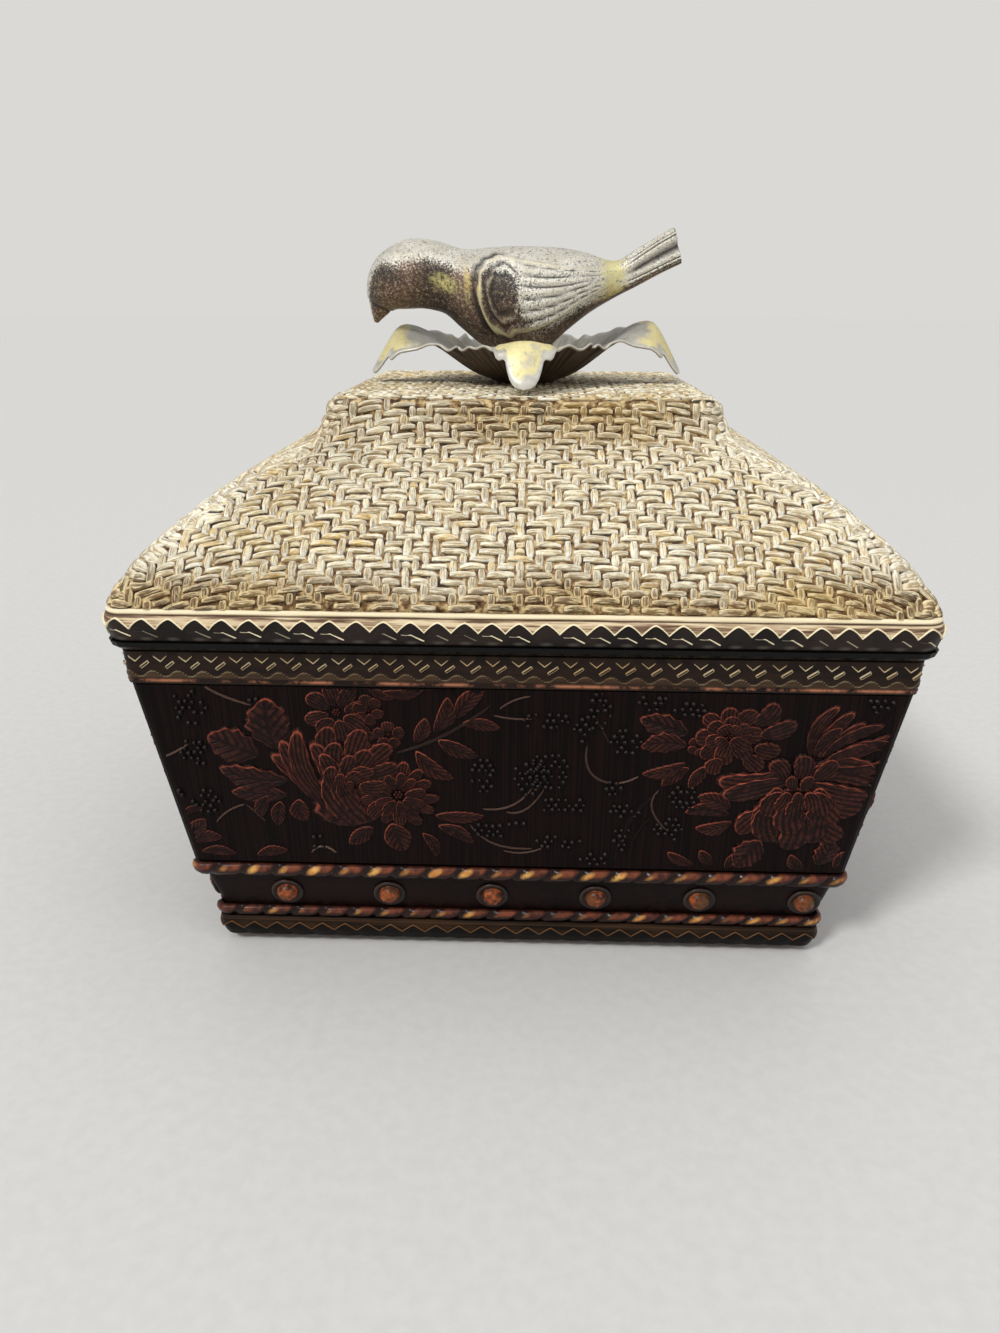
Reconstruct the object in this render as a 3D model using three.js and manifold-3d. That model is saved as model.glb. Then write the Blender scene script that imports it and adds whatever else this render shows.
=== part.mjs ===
import * as THREE from 'three';
import { mergeVertices } from 'three/addons/utils/BufferGeometryUtils.js';
import Module from 'manifold-3d';

// Square trinket box: tapered body with applied mouldings, lift-off pagoda lid, bird finial.
// Millimetres, +Z up, front towards -Y, origin on the floor under the middle of the box.

const wasm = await Module();
wasm.setup();

// Clearances
const seatGap = 0.3; // between pieces that rest on or are glued to one another
const mitreGap = 0.3; // between boards that meet on a diagonal
const cutOverrun = 2; // how far a cutting solid runs past what it cuts

// Feet and base moulding
const footHeight = 3.2;
const footDiameter = 10.6;
const footEdge = 0.8;
const footInset = 25;
const baseMouldingHeight = 7.7;
const baseMouldingStep = 2.5; // its top stands out from the frieze's foot
const baseMouldingTaper = 0.8;
const baseMouldingThickness = 2;
const baseMouldingBulge = 0.6;

// Frieze with its two rope beads and its studs
const friezeHeight = 24.7;
const friezeTaper = 6.3;
const friezeSetback = 1.3; // behind the foot of the floral panels
const friezeThickness = 2.6;
const friezeArris = 3;
const ropePitch = 10.2;
const ropeSlant = 3;
const ropeGrooveShare = 0.62;
const ropeArris = 2.2;
const upperRopeHeight = 5.6;
const upperRopeDepth = 2.7;
const lowerRopeHeight = 4.6;
const lowerRopeDepth = 2.5;
const studPitch = 36;
const studMargin = 26.3; // from the left arris to the first stud
const studEndMargin = 6.5; // least distance from the last stud to the right arris
const studRise = 11.2;
const studRingDiameter = 11.5;
const studRingThickness = 1;
const studDomeDiameter = 7.6;
const studDomeHeight = 2.3;
const studShankDiameter = 2.4;
const studShankLength = 1.9;

// Box walls, floor, floral panels and rim band
const panelReveal = 0.7;
const panelHeight = 68.3;
const panelTopWidth = 242.6;
const panelTaper = 9.8; // each side leans in by this much from its top to its foot
const panelThickness = 1.2;
const wallThickness = 9;
const wallArris = 2;
const innerArris = 0.5;
const bottomBoardThickness = 6;
const linerThickness = 1;
const rimBandGap = 0.6;
const rimBandHeight = 10.8;
const rimBandProud = 0.8; // in front of the panels
const rimBandTaper = 0.6;

// Lid frame, rim strip and locating lip
const lidFrameHeight = 13.7;
const lidFootSetback = 0.4; // behind the top of the rim band
const lidNoseProud = 3.7;
const lidNoseHeight = 3.2;
const rimStripThickness = 1.7;
const rimStripBulge = 1;
const rimStripTaper = 0.3;
const rimCrestShare = 0.57;
const rimArris = 7;
const lipDepth = 9.4;
const lipThickness = 6;
const lipClearance = 1;

// Pagoda dome of the lid: woven cover over a moulded shell
const domeFootSetback = 0.2; // behind the top of the rim strip
const domeSlopeRun = 55.5;
const domeNeckFootRise = 43.5;
const domeNeckTaper = 3;
const domeHeight = 56;
const domeTopRadius = 5.4;
const hipRadius = 10;
const hipLeastRadius = 1.5;
const coverThickness = 1.5;
const shellThickness = 3;
const domeSlopeShares = [
  [0, 0], [0.06, 0.13], [0.2, 0.34], [0.5, 0.645], [0.72, 0.81], [0.9, 0.915], [1, 1],
];

// Sheet-metal leaf calyx
const calyxReach = 60;
const calyxRise = 18;
const calyxSheet = 0.8;
const calyxFloorDiameter = 20;
const calyxRuffle = 1.1;
const ruffleWaves = 16;
const leafLiftShares = [1.1, 1.02, 1, 0.88]; // right, back, left and front leaf, as they are bent
const leafBearingShares = [0, 0.06, 0.11, 0.15, 0.165, 0.24, 0.3, 0.37, 0.58, 1];
const leafReachShares = [1, 0.995, 0.98, 0.948, 0.904, 0.876, 0.8, 0.7, 0.617, 0.583];
const calyxRadialShares = [0, 0.3, 0.56, 0.75, 0.86, 1]; // from the cup's floor to the leaf's edge
const calyxRadiusShares = [0, 0.2, 0.52, 0.64, 0.74, 0.8, 0.86, 1];
const calyxHeightShares = [0, 0.22, 0.82, 0.96, 1, 0.96, 0.76, 0.12];

// Cast bird
const birdLength = 120.4;
const birdHeight = 45.6;
const birdWidth = 39;
const birdLeft = -61;
const birdRise = 10.2; // belly above the dome's top
const birdSides = 24;
const birdStations = 25;
const wingLiftShare = 0.13;
const wingStartShare = 0.47;
const wingFullShare = 0.53;
const wingEndShare = 0.86;
const wingBearing = 0.2; // radians above level
const featherStartShare = 0.5;
const featherGrooveShare = 0.1;
const tailStartShare = 0.76;
const tailSquareness = 3.2; // exponent added to the round section's 2
const bossDiameter = 16;
// Sections from beak to tail: upper outline x, z, lower outline x, z, and half width
const birdSectionShares = [
  [0.018, 0.268, 0.034, 0.26, 0.02],
  [0.011, 0.34, 0.044, 0.285, 0.1],
  [0.005, 0.421, 0.068, 0.333, 0.22],
  [0, 0.504, 0.092, 0.364, 0.42],
  [0.01, 0.658, 0.12, 0.368, 0.57],
  [0.05, 0.803, 0.15, 0.371, 0.64],
  [0.133, 0.912, 0.175, 0.373, 0.67],
  [0.224, 0.899, 0.212, 0.36, 0.68],
  [0.307, 0.838, 0.253, 0.325, 0.74],
  [0.399, 0.853, 0.303, 0.215, 0.88],
  [0.482, 0.86, 0.374, 0.077, 0.98],
  [0.565, 0.857, 0.474, 0, 1],
  [0.64, 0.84, 0.565, 0.05, 0.93],
  [0.706, 0.803, 0.64, 0.211, 0.76],
  [0.756, 0.759, 0.71, 0.351, 0.58],
  [0.793, 0.757, 0.785, 0.465, 0.46],
  [0.839, 0.818, 0.86, 0.557, 0.45],
  [0.906, 0.912, 0.93, 0.645, 0.49],
  [0.971, 1, 1, 0.726, 0.51],
];

// Finial screw and washer
const screwDiameter = 4;
const screwHeadDiameter = 9;
const screwHeadHeight = 3;
const screwBite = 10;
const washerDiameter = 16;
const washerThickness = 1;
const boreClearance = 0.3;

const arcSteps = 2; // facets of a corner, from its diagonal to the straight
const domeSlopeSteps = 7;
const domeTopSteps = 3;
const studSides = 8;
const roundSides = 16;

// Widths worked out from the sizes above, from the panels' top edge down and up
const panelFootWidth = panelTopWidth - 2 * panelTaper;
const friezeTopWidth = panelFootWidth - 2 * friezeSetback;
const friezeFootWidth = friezeTopWidth - 2 * friezeTaper;
const baseMouldingTopWidth = friezeFootWidth + 2 * baseMouldingStep;
const baseMouldingFootWidth = baseMouldingTopWidth - 2 * baseMouldingTaper;
const rimBandFootWidth = panelTopWidth + 2 * rimBandProud;
const rimBandTopWidth = rimBandFootWidth + 2 * rimBandTaper;
const lidFrameFootWidth = rimBandTopWidth - 2 * lidFootSetback;
const lidNoseWidth = lidFrameFootWidth + 2 * lidNoseProud;
const rimStripTopWidth = lidNoseWidth - 2 * rimStripTaper;
const rimStripBackWidth = lidNoseWidth - 2 * rimStripThickness;
const domeFootWidth = rimStripTopWidth - 2 * domeFootSetback;
const domeNeckFootWidth = domeFootWidth - 2 * domeSlopeRun;
const domeNeckTopWidth = domeNeckFootWidth - 2 * domeNeckTaper;

// Heights worked out from the sizes above
const bodyBottom = footHeight + seatGap;
const baseMouldingTop = bodyBottom + baseMouldingHeight;
const friezeBottom = baseMouldingTop + seatGap;
const friezeTop = friezeBottom + friezeHeight;
const wallShoulder = friezeTop + seatGap;
const panelBottom = wallShoulder + panelReveal;
const panelTop = panelBottom + panelHeight;
const rimBandBottom = panelTop + rimBandGap;
const rimBandTop = rimBandBottom + rimBandHeight;
const wallTop = rimBandTop + seatGap;
const lidBottom = wallTop + seatGap;
const lidFrameTop = lidBottom + lidFrameHeight;
const domeBottom = lidFrameTop + seatGap;
const domeTop = domeBottom + domeHeight;
const shellInset = coverThickness + seatGap;
const hollowInset = shellInset + shellThickness;
const boreRadius = screwDiameter / 2 + boreClearance;

const materials = {
  wood: new THREE.MeshStandardMaterial({ color: 0x2a1a12, roughness: 0.6, metalness: 0 }),
  felt: new THREE.MeshStandardMaterial({ color: 0x1d1613, roughness: 0.95, metalness: 0 }),
  florals: new THREE.MeshStandardMaterial({ color: 0x43201a, roughness: 0.5, metalness: 0 }),
  band: new THREE.MeshStandardMaterial({ color: 0x4a3a24, roughness: 0.55, metalness: 0.1 }),
  rope: new THREE.MeshStandardMaterial({ color: 0x5a2a18, roughness: 0.45, metalness: 0.15 }),
  frieze: new THREE.MeshStandardMaterial({ color: 0x33180f, roughness: 0.5, metalness: 0 }),
  moulding: new THREE.MeshStandardMaterial({ color: 0x4d3c25, roughness: 0.6, metalness: 0.1 }),
  foot: new THREE.MeshStandardMaterial({ color: 0x15110f, roughness: 0.8, metalness: 0 }),
  stud: new THREE.MeshStandardMaterial({ color: 0x94441e, roughness: 0.4, metalness: 0.4 }),
  lacquer: new THREE.MeshStandardMaterial({ color: 0x0c0b0b, roughness: 0.25, metalness: 0 }),
  strip: new THREE.MeshStandardMaterial({ color: 0x8a775a, roughness: 0.55, metalness: 0.1 }),
  shell: new THREE.MeshStandardMaterial({ color: 0x2b1d15, roughness: 0.85, metalness: 0 }),
  weave: new THREE.MeshStandardMaterial({ color: 0xa08a63, roughness: 0.75, metalness: 0 }),
  leaf: new THREE.MeshStandardMaterial({ color: 0x8f8d80, roughness: 0.4, metalness: 0.8 }),
  bird: new THREE.MeshStandardMaterial({ color: 0x51473c, roughness: 0.5, metalness: 0.6 }),
  steel: new THREE.MeshStandardMaterial({ color: 0x8c8a86, roughness: 0.35, metalness: 0.9 }),
};

function named(name, geometry, material) {
  const mesh = new THREE.Mesh(geometry, material);
  mesh.name = name;
  return mesh;
}

function between(low, high, share) {
  return low + (high - low) * share;
}

// Turns the faces out and makes the geometry
function facingOut(positions, triangles) {
  const point = (index) => new THREE.Vector3().fromArray(positions, index * 3);
  let volume = 0;
  for (let i = 0; i < triangles.length; i += 3) {
    const [a, b, c] = triangles.slice(i, i + 3).map(point);
    volume += a.dot(b.cross(c));
  }
  const ordered = volume < 0 ? triangles.slice().reverse() : triangles;
  const geometry = new THREE.BufferGeometry();
  geometry.setAttribute('position', new THREE.Float32BufferAttribute(positions, 3));
  geometry.setIndex(ordered);
  geometry.computeVertexNormals();
  return geometry;
}

// Skins a row of stations, each a loop with the same number of points, into one closed body
function skin(stations, looped, capOutline) {
  const around = stations[0].length;
  const triangles = [];
  const spans = looped ? stations.length : stations.length - 1;
  for (let i = 0; i < spans; i++) {
    const here = i * around;
    const next = ((i + 1) % stations.length) * around;
    for (let j = 0; j < around; j++) {
      const k = (j + 1) % around;
      triangles.push(here + j, here + k, next + k, here + j, next + k, next + j);
    }
  }
  if (!looped) {
    const last = (stations.length - 1) * around;
    const turn = Math.sign(THREE.ShapeUtils.area(capOutline));
    for (const face of THREE.ShapeUtils.triangulateShape(capOutline, [])) {
      const sameTurn = THREE.ShapeUtils.area(face.map((i) => capOutline[i])) * turn > 0;
      const [a, b, c] = sameTurn ? face : face.slice().reverse();
      triangles.push(c, b, a, last + a, last + b, last + c);
    }
  }
  return facingOut(stations.flat(2), triangles);
}

// Outline of the front side of a rounded square, from one diagonal to the other
function sideOutline(half, radius, gap = 0) {
  const points = [];
  for (const end of [-1, 1]) {
    for (let i = 0; i <= arcSteps; i++) {
      const turn = (end < 0 ? i / arcSteps - 1 : i / arcSteps) * Math.PI / 4;
      points.push([end * (half - radius) + radius * Math.sin(turn), radius - half - radius * Math.cos(turn)]);
    }
  }
  const pull = gap / 2 * Math.SQRT1_2;
  points[0] = [points[0][0] + pull, points[0][1] - pull];
  const last = points.length - 1;
  points[last] = [points[last][0] - pull, points[last][1] - pull];
  return points;
}

function fullOutline(half, radius) {
  const side = sideOutline(half, radius).slice(0, -1);
  const turned = [];
  for (let quarter = 0; quarter < 4; quarter++) {
    const [c, s] = [Math.cos(quarter * Math.PI / 2), Math.sin(quarter * Math.PI / 2)];
    for (const [x, y] of side) turned.push([x * c - y * s, x * s + y * c]);
  }
  return turned;
}

// A profile is a list of { half, z, radius }: distance from the middle, height, corner radius
function mitredPiece(profile) {
  const rows = profile.map((point) => sideOutline(point.half, point.radius, mitreGap));
  const stations = rows[0].map((_, i) => rows.map((row, j) => [...row[i], profile[j].z]));
  return skin(stations, false, profile.map((point) => new THREE.Vector2(point.half, point.z)));
}

function ringPiece(profile) {
  const rows = profile.map((point) => fullOutline(point.half, point.radius));
  const stations = rows[0].map((_, i) => rows.map((row, j) => [...row[i], profile[j].z]));
  return skin(stations, true);
}

function stackedSquares(levels) {
  const stations = levels.map(({ half, z, radius }) => fullOutline(half, radius).map((xy) => [...xy, z]));
  return skin(stations, false, stations[0].map(([x, y]) => new THREE.Vector2(x, y)));
}

// Booleans
function solidOf(geometry) {
  const bare = geometry.clone();
  bare.deleteAttribute('normal');
  bare.deleteAttribute('uv');
  const merged = mergeVertices(bare);
  return new wasm.Manifold(new wasm.Mesh({
    numProp: 3,
    vertProperties: new Float32Array(merged.attributes.position.array),
    triVerts: new Uint32Array(merged.index.array),
  }));
}

function geometryOf(solid) {
  const mesh = solid.getMesh();
  const geometry = new THREE.BufferGeometry();
  geometry.setAttribute('position', new THREE.BufferAttribute(mesh.vertProperties, 3));
  geometry.setIndex(new THREE.BufferAttribute(mesh.triVerts, 1));
  geometry.computeVertexNormals();
  return geometry;
}

function uprightCylinder(radius, low, high, sides = roundSides) {
  const cylinder = new THREE.CylinderGeometry(radius, radius, high - low, sides);
  cylinder.rotateX(Math.PI / 2);
  cylinder.translate(0, 0, (low + high) / 2);
  return cylinder;
}

// Turned piece standing along +Z
function turnedPiece(outline, sides) {
  const lathe = new THREE.LatheGeometry(outline.map(([x, z]) => new THREE.Vector2(x, z)), sides);
  lathe.rotateX(Math.PI / 2);
  return mergedCopy(lathe);
}

function mergedCopy(geometry) {
  const bare = geometry.clone();
  bare.deleteAttribute('normal');
  bare.deleteAttribute('uv');
  const merged = mergeVertices(bare);
  const index = [...merged.index.array];
  const kept = [];
  for (let i = 0; i < index.length; i += 3) {
    const [a, b, c] = index.slice(i, i + 3);
    if (a !== b && b !== c && c !== a) kept.push(a, b, c);
  }
  return facingOut([...merged.attributes.position.array], kept);
}

// Distances of the sloping faces from the middle, at a height
function panelHalfAt(z) {
  return between(panelFootWidth, panelTopWidth, (z - panelBottom) / panelHeight) / 2;
}

function wallOuterAt(z) {
  return panelHalfAt(z) - panelThickness - seatGap;
}

function wallInnerAt(z) {
  return wallOuterAt(z) - wallThickness;
}

function friezeHalfAt(z) {
  return between(friezeFootWidth, friezeTopWidth, (z - friezeBottom) / friezeHeight) / 2;
}

function friezeSeatAt(z) {
  return friezeHalfAt(z) - friezeThickness - seatGap;
}

function wallGeometry() {
  const seatHalf = baseMouldingFootWidth / 2 - baseMouldingThickness - seatGap;
  const outer = [
    [seatHalf, bodyBottom],
    [seatHalf, baseMouldingTop],
    [friezeSeatAt(baseMouldingTop), baseMouldingTop],
    [friezeSeatAt(wallShoulder), wallShoulder],
    [wallOuterAt(wallShoulder), wallShoulder],
    [wallOuterAt(wallTop), wallTop],
  ].map(([half, z]) => ({ half, z, radius: wallArris }));
  const inner = [wallTop, bodyBottom].map((z) => ({ half: wallInnerAt(z), z, radius: innerArris }));
  return mitredPiece([...outer, ...inner]);
}

function panelGeometry() {
  const backRadius = wallArris + seatGap;
  const sheet = (z, depth, radius) => ({ half: panelHalfAt(z) - depth, z, radius });
  return mitredPiece([
    sheet(panelBottom, 0, backRadius + panelThickness),
    sheet(panelTop, 0, backRadius + panelThickness),
    sheet(panelTop, panelThickness, backRadius),
    sheet(panelBottom, panelThickness, backRadius),
  ]);
}

// Frieze board of one side with its stud holes
const friezeTilt = Math.atan2((friezeTopWidth - friezeFootWidth) / 2, friezeHeight);
const studHeight = friezeBottom + studRise;
const studRun = 2 * friezeHalfAt(studHeight) - studMargin - studEndMargin;
const studPlaces = Array.from({ length: Math.floor(studRun / studPitch) + 1 }, (_, i) =>
  studMargin + i * studPitch - friezeHalfAt(studHeight));

function friezeGeometry() {
  const backRadius = wallArris + seatGap;
  const board = (z, depth, radius) => ({ half: friezeHalfAt(z) - depth, z, radius });
  let solid = solidOf(mitredPiece([
    board(friezeBottom, 0, friezeArris),
    board(friezeTop, 0, friezeArris),
    board(friezeTop, friezeThickness, backRadius),
    board(friezeBottom, friezeThickness, backRadius),
  ]));
  const reach = friezeThickness + cutOverrun;
  for (const x of studPlaces) {
    const hole = uprightCylinder(studShankDiameter / 2 + boreClearance, -reach, reach, studSides);
    hole.applyMatrix4(studPose(x));
    solid = solid.subtract(solidOf(hole));
  }
  return geometryOf(solid);
}

// Places a piece made along +Z on the frieze's front face, pointing straight out of it
function studPose(x) {
  const pose = new THREE.Matrix4().makeRotationX(Math.PI / 2 + friezeTilt);
  return pose.setPosition(x, -friezeHalfAt(studHeight), studHeight);
}

function studGeometry() {
  const ringRadius = studRingDiameter / 2;
  const domeRadius = studDomeDiameter / 2;
  const shankRadius = studShankDiameter / 2;
  const ringTop = seatGap + studRingThickness;
  return turnedPiece([
    [0, seatGap - studShankLength],
    [shankRadius, seatGap - studShankLength],
    [shankRadius, seatGap],
    [ringRadius, seatGap],
    [(ringRadius + domeRadius) / 2, ringTop],
    [domeRadius, ringTop],
    [domeRadius / 2, ringTop + studDomeHeight - studRingThickness],
    [0, ringTop + studDomeHeight - studRingThickness / 2],
  ], studSides);
}

// Twisted bead round the frieze: slanted lobes that swell and draw in once a pitch
function ropeGeometry(centre, height, depth) {
  const straight = 2 * (friezeHalfAt(centre) + seatGap - ropeArris);
  const corner = ropeArris * Math.PI / 2;
  const lobes = Math.round(straight / ropePitch);
  const section = [
    { rise: -1, out: 0, slant: 0 },
    { rise: -0.62, out: 0.78, slant: -0.62 },
    { rise: 0, out: 1, slant: 0 },
    { rise: 0.62, out: 0.78, slant: 0.62 },
    { rise: 1, out: 0, slant: 0 },
  ];
  const stations = [];
  for (let side = 0; side < 4; side++) {
    for (let i = 0; i <= 2 * lobes + 1; i++) {
      const onCorner = i > 2 * lobes;
      const along = onCorner ? straight + corner / 2 : straight * i / (2 * lobes);
      const swell = i % 2 === 0 ? ropeGrooveShare : 1;
      stations.push(section.map(({ rise, out, slant }) => {
        const z = centre + rise * height / 2;
        const half = friezeHalfAt(z) + seatGap;
        return [...pointOnRope(side, along + slant * ropeSlant, half, out * swell * depth, straight, corner), z];
      }));
    }
  }
  return skin(stations, true);
}

// Point at a length along the bead's path, pushed out from the frieze
function pointOnRope(side, length, half, out, straight, corner) {
  const whole = straight + corner;
  const along = (length + whole) % whole;
  const turns = side + Math.floor(length / whole);
  const turn = Math.max(0, along - straight) / ropeArris;
  const x = Math.min(along, straight) * (half - ropeArris) * 2 / straight - (half - ropeArris);
  const reach = ropeArris + out;
  const px = x + reach * Math.sin(turn);
  const py = ropeArris - half - reach * Math.cos(turn);
  const [c, s] = [Math.cos(turns * Math.PI / 2), Math.sin(turns * Math.PI / 2)];
  return [px * c - py * s, px * s + py * c];
}

function baseMouldingGeometry() {
  const backHalf = baseMouldingFootWidth / 2 - baseMouldingThickness;
  const backRadius = wallArris + seatGap;
  const frontRadius = backRadius + baseMouldingThickness;
  const middle = (bodyBottom + baseMouldingTop) / 2;
  const middleHalf = (baseMouldingFootWidth + baseMouldingTopWidth) / 4 + baseMouldingBulge;
  return ringPiece([
    { half: baseMouldingFootWidth / 2, z: bodyBottom, radius: frontRadius },
    { half: middleHalf, z: middle, radius: frontRadius },
    { half: baseMouldingTopWidth / 2, z: baseMouldingTop, radius: frontRadius },
    { half: backHalf, z: baseMouldingTop, radius: backRadius },
    { half: backHalf, z: bodyBottom, radius: backRadius },
  ]);
}

function rimBandGeometry() {
  const backRadius = wallArris + seatGap;
  const back = (z) => ({ half: wallOuterAt(z) + seatGap, z, radius: backRadius });
  const front = (width, z) => ({ half: width / 2, z, radius: backRadius + panelThickness });
  return ringPiece([
    front(rimBandFootWidth, rimBandBottom),
    front(rimBandTopWidth, rimBandTop),
    back(rimBandTop),
    back(rimBandBottom),
  ]);
}

function bottomBoardGeometry() {
  const edge = (z) => ({ half: wallInnerAt(z) - seatGap, z, radius: innerArris });
  return stackedSquares([edge(bodyBottom), edge(bodyBottom + bottomBoardThickness)]);
}

const linerBottom = bodyBottom + bottomBoardThickness + seatGap;

function linerGeometry() {
  const edge = (z) => ({ half: wallInnerAt(z) - seatGap, z, radius: innerArris });
  return stackedSquares([edge(linerBottom), edge(linerBottom + linerThickness)]);
}

function footGeometry() {
  const radius = footDiameter / 2;
  return turnedPiece([
    [0, 0], [radius - footEdge, 0], [radius, footEdge], [radius, footHeight], [0, footHeight],
  ], roundSides);
}

// The lip hangs from the lid frame, flush with its inner face, and clears the walls
const lipBottom = wallTop - lipDepth;
const lipOuterHalf = wallInnerAt(lipBottom) - lipClearance;
const lipInnerHalf = lipOuterHalf - lipThickness;

// Lid frame: a lacquered wooden bar with a rounded lower lip that the rim strip stands on
function lidFrameGeometry() {
  const noseTop = lidBottom + lidNoseHeight;
  const rimHalf = rimStripBackWidth / 2 - seatGap;
  const footHalf = lidFrameFootWidth / 2;
  const noseHalf = lidNoseWidth / 2;
  const outer = [
    [footHalf, lidBottom],
    [between(footHalf, noseHalf, 0.5), between(lidBottom, noseTop, 0.13)],
    [between(footHalf, noseHalf, 0.87), between(lidBottom, noseTop, 0.5)],
    [noseHalf, noseTop],
    [rimHalf, noseTop],
    [rimHalf, lidFrameTop],
  ].map(([half, z]) => ({ half, z, radius: rimArris - (lidNoseWidth / 2 - half) / 2 }));
  const inner = [lidFrameTop, lidBottom].map((z) => ({ half: lipInnerHalf, z, radius: innerArris }));
  return mitredPiece([...outer, ...inner]);
}

function rimStripGeometry() {
  const bottom = lidBottom + lidNoseHeight + seatGap;
  const crest = between(bottom, lidFrameTop, rimCrestShare);
  const back = rimStripBackWidth / 2;
  return ringPiece([
    { half: lidNoseWidth / 2, z: bottom, radius: rimArris },
    { half: lidNoseWidth / 2 + rimStripBulge, z: crest, radius: rimArris },
    { half: rimStripTopWidth / 2, z: lidFrameTop, radius: rimArris },
    { half: back, z: lidFrameTop, radius: rimArris - (lidNoseWidth / 2 - back) / 2 },
    { half: back, z: bottom, radius: rimArris - (lidNoseWidth / 2 - back) / 2 },
  ]);
}


function lipGeometry() {
  const top = lidBottom - seatGap;
  return ringPiece([
    { half: lipOuterHalf, z: lipBottom, radius: wallArris },
    { half: lipOuterHalf, z: top, radius: wallArris },
    { half: lipInnerHalf, z: top, radius: innerArris },
    { half: lipInnerHalf, z: lipBottom, radius: innerArris },
  ]);
}

// Levels of the pagoda dome, drawn in by an inset measured square to its face
function domeLevels(inset) {
  const footHalf = domeFootWidth / 2;
  const neckHalf = domeNeckFootWidth / 2;
  const slope = new THREE.SplineCurve(domeSlopeShares.map(([run, rise]) =>
    new THREE.Vector2(between(footHalf, neckHalf, run), domeBottom + domeNeckFootRise * rise)));
  const levels = [];
  for (let i = 0; i <= domeSlopeSteps; i++) {
    const share = i / domeSlopeSteps;
    const point = slope.getPoint(share);
    const tangent = slope.getTangent(share);
    const half = point.x - inset * tangent.y;
    const z = i === 0 ? domeBottom : point.y + inset * tangent.x;
    levels.push({ half, z, radius: between(rimArris, hipRadius, Math.min(1, share * 2)) - inset });
  }
  const topHalf = domeNeckTopWidth / 2 - inset;
  const topZ = domeTop - inset;
  const radius = Math.max(domeTopRadius - inset, seatGap);
  for (let i = 0; i <= domeTopSteps; i++) {
    const turn = i / domeTopSteps * Math.PI / 2;
    levels.push({
      half: topHalf - radius + radius * Math.cos(turn),
      z: topZ - radius + radius * Math.sin(turn),
      radius: hipRadius - inset,
    });
  }
  return levels.map((level) => ({ ...level, radius: Math.max(level.radius, hipLeastRadius) }));
}

function domeSkin(outerInset, innerInset) {
  const inner = domeLevels(innerInset);
  inner.unshift({ ...inner[0], z: domeBottom - cutOverrun });
  const bore = uprightCylinder(boreRadius, domeBottom, domeTop + cutOverrun);
  const solid = solidOf(stackedSquares(domeLevels(outerInset)))
    .subtract(solidOf(stackedSquares(inner)))
    .subtract(solidOf(bore));
  return geometryOf(solid);
}

// Four three-lobed leaves of sheet metal round a shallow cup
const calyxSeat = domeTop + seatGap;

function calyxGeometry() {
  const rise = new THREE.CubicInterpolant(calyxRadiusShares, calyxHeightShares, 1);
  const reachAt = new THREE.CubicInterpolant(leafBearingShares, leafReachShares, 1);
  const leafCount = leafLiftShares.length;
  const halfLeaf = Math.PI / leafCount;
  const bearings = [];
  for (let leaf = 0; leaf < leafCount; leaf++) {
    for (const share of leafBearingShares.slice(1).reverse()) bearings.push([2 * leaf - share, share]);
    for (const share of leafBearingShares.slice(0, -1)) bearings.push([2 * leaf + share, share]);
  }
  const floorRadius = calyxFloorDiameter / 2;
  const liftAt = (bearing) => leafLiftShares.reduce((sum, lift, leaf) =>
    sum + lift * Math.max(0, Math.cos(bearing - 2 * leaf * halfLeaf)) ** 2, 0);
  const heightAt = (radius, bearing) => {
    const share = Math.max(0, radius - floorRadius) / (calyxReach - floorRadius);
    const ruffle = calyxRuffle * share ** 2 * Math.cos(bearing * ruffleWaves);
    return calyxRise * liftAt(bearing) * rise.evaluate(share)[0] + ruffle;
  };
  const stations = bearings.map(([turns, share]) => {
    const bearing = turns * halfLeaf;
    const reach = calyxReach * reachAt.evaluate(share)[0];
    const radii = [boreRadius, ...calyxRadialShares.map((radial) => between(floorRadius, reach, radial))];
    const top = radii.map((radius) => [radius, heightAt(radius, bearing)]);
    const under = top.map(([radius, z], i) => {
      const [r0, z0] = top[Math.max(i - 1, 0)];
      const [r1, z1] = top[Math.min(i + 1, top.length - 1)];
      const length = Math.hypot(r1 - r0, z1 - z0);
      const isBore = i === 0;
      return [isBore ? radius : radius + calyxSheet * (z1 - z0) / length, z - calyxSheet * (r1 - r0) / length];
    });
    return [...top, ...under.reverse()].map(([radius, z]) =>
      [radius * Math.cos(bearing), radius * Math.sin(bearing), calyxSeat + calyxSheet + z]);
  });
  return skin(stations, true);
}

// Bird: sections hung between an upper and a lower outline, with wings, feathers and a flat tail
const birdBottom = domeTop + birdRise;

function birdGeometry() {
  const place = (x, z) => new THREE.Vector2(birdLeft + x * birdLength, birdBottom + z * birdHeight);
  const upper = new THREE.SplineCurve(birdSectionShares.map(([x, z]) => place(x, z)));
  const lower = new THREE.SplineCurve(birdSectionShares.map(([, , x, z]) => place(x, z)));
  const width = new THREE.SplineCurve(birdSectionShares.map((row) =>
    new THREE.Vector2(0, row[4] * birdWidth / 2)));
  const stations = [];
  for (let i = 0; i < birdStations; i++) {
    const share = i / (birdStations - 1);
    const top = upper.getPoint(share);
    const bottom = lower.getPoint(share);
    stations.push(birdSection(share, top, bottom, width.getPoint(share).y));
  }
  const outline = stations[0].map(([, y, z]) => new THREE.Vector2(y, z));
  const bird = solidOf(skin(stations, false, outline));
  const bossBottom = calyxSeat + calyxSheet + seatGap;
  const boss = uprightCylinder(bossDiameter / 2, bossBottom, birdBottom + screwBite);
  const bore = uprightCylinder(boreRadius, bossBottom - cutOverrun, bossBottom + screwBite + seatGap);
  return geometryOf(bird.add(solidOf(boss)).subtract(solidOf(bore)));
}

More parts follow.
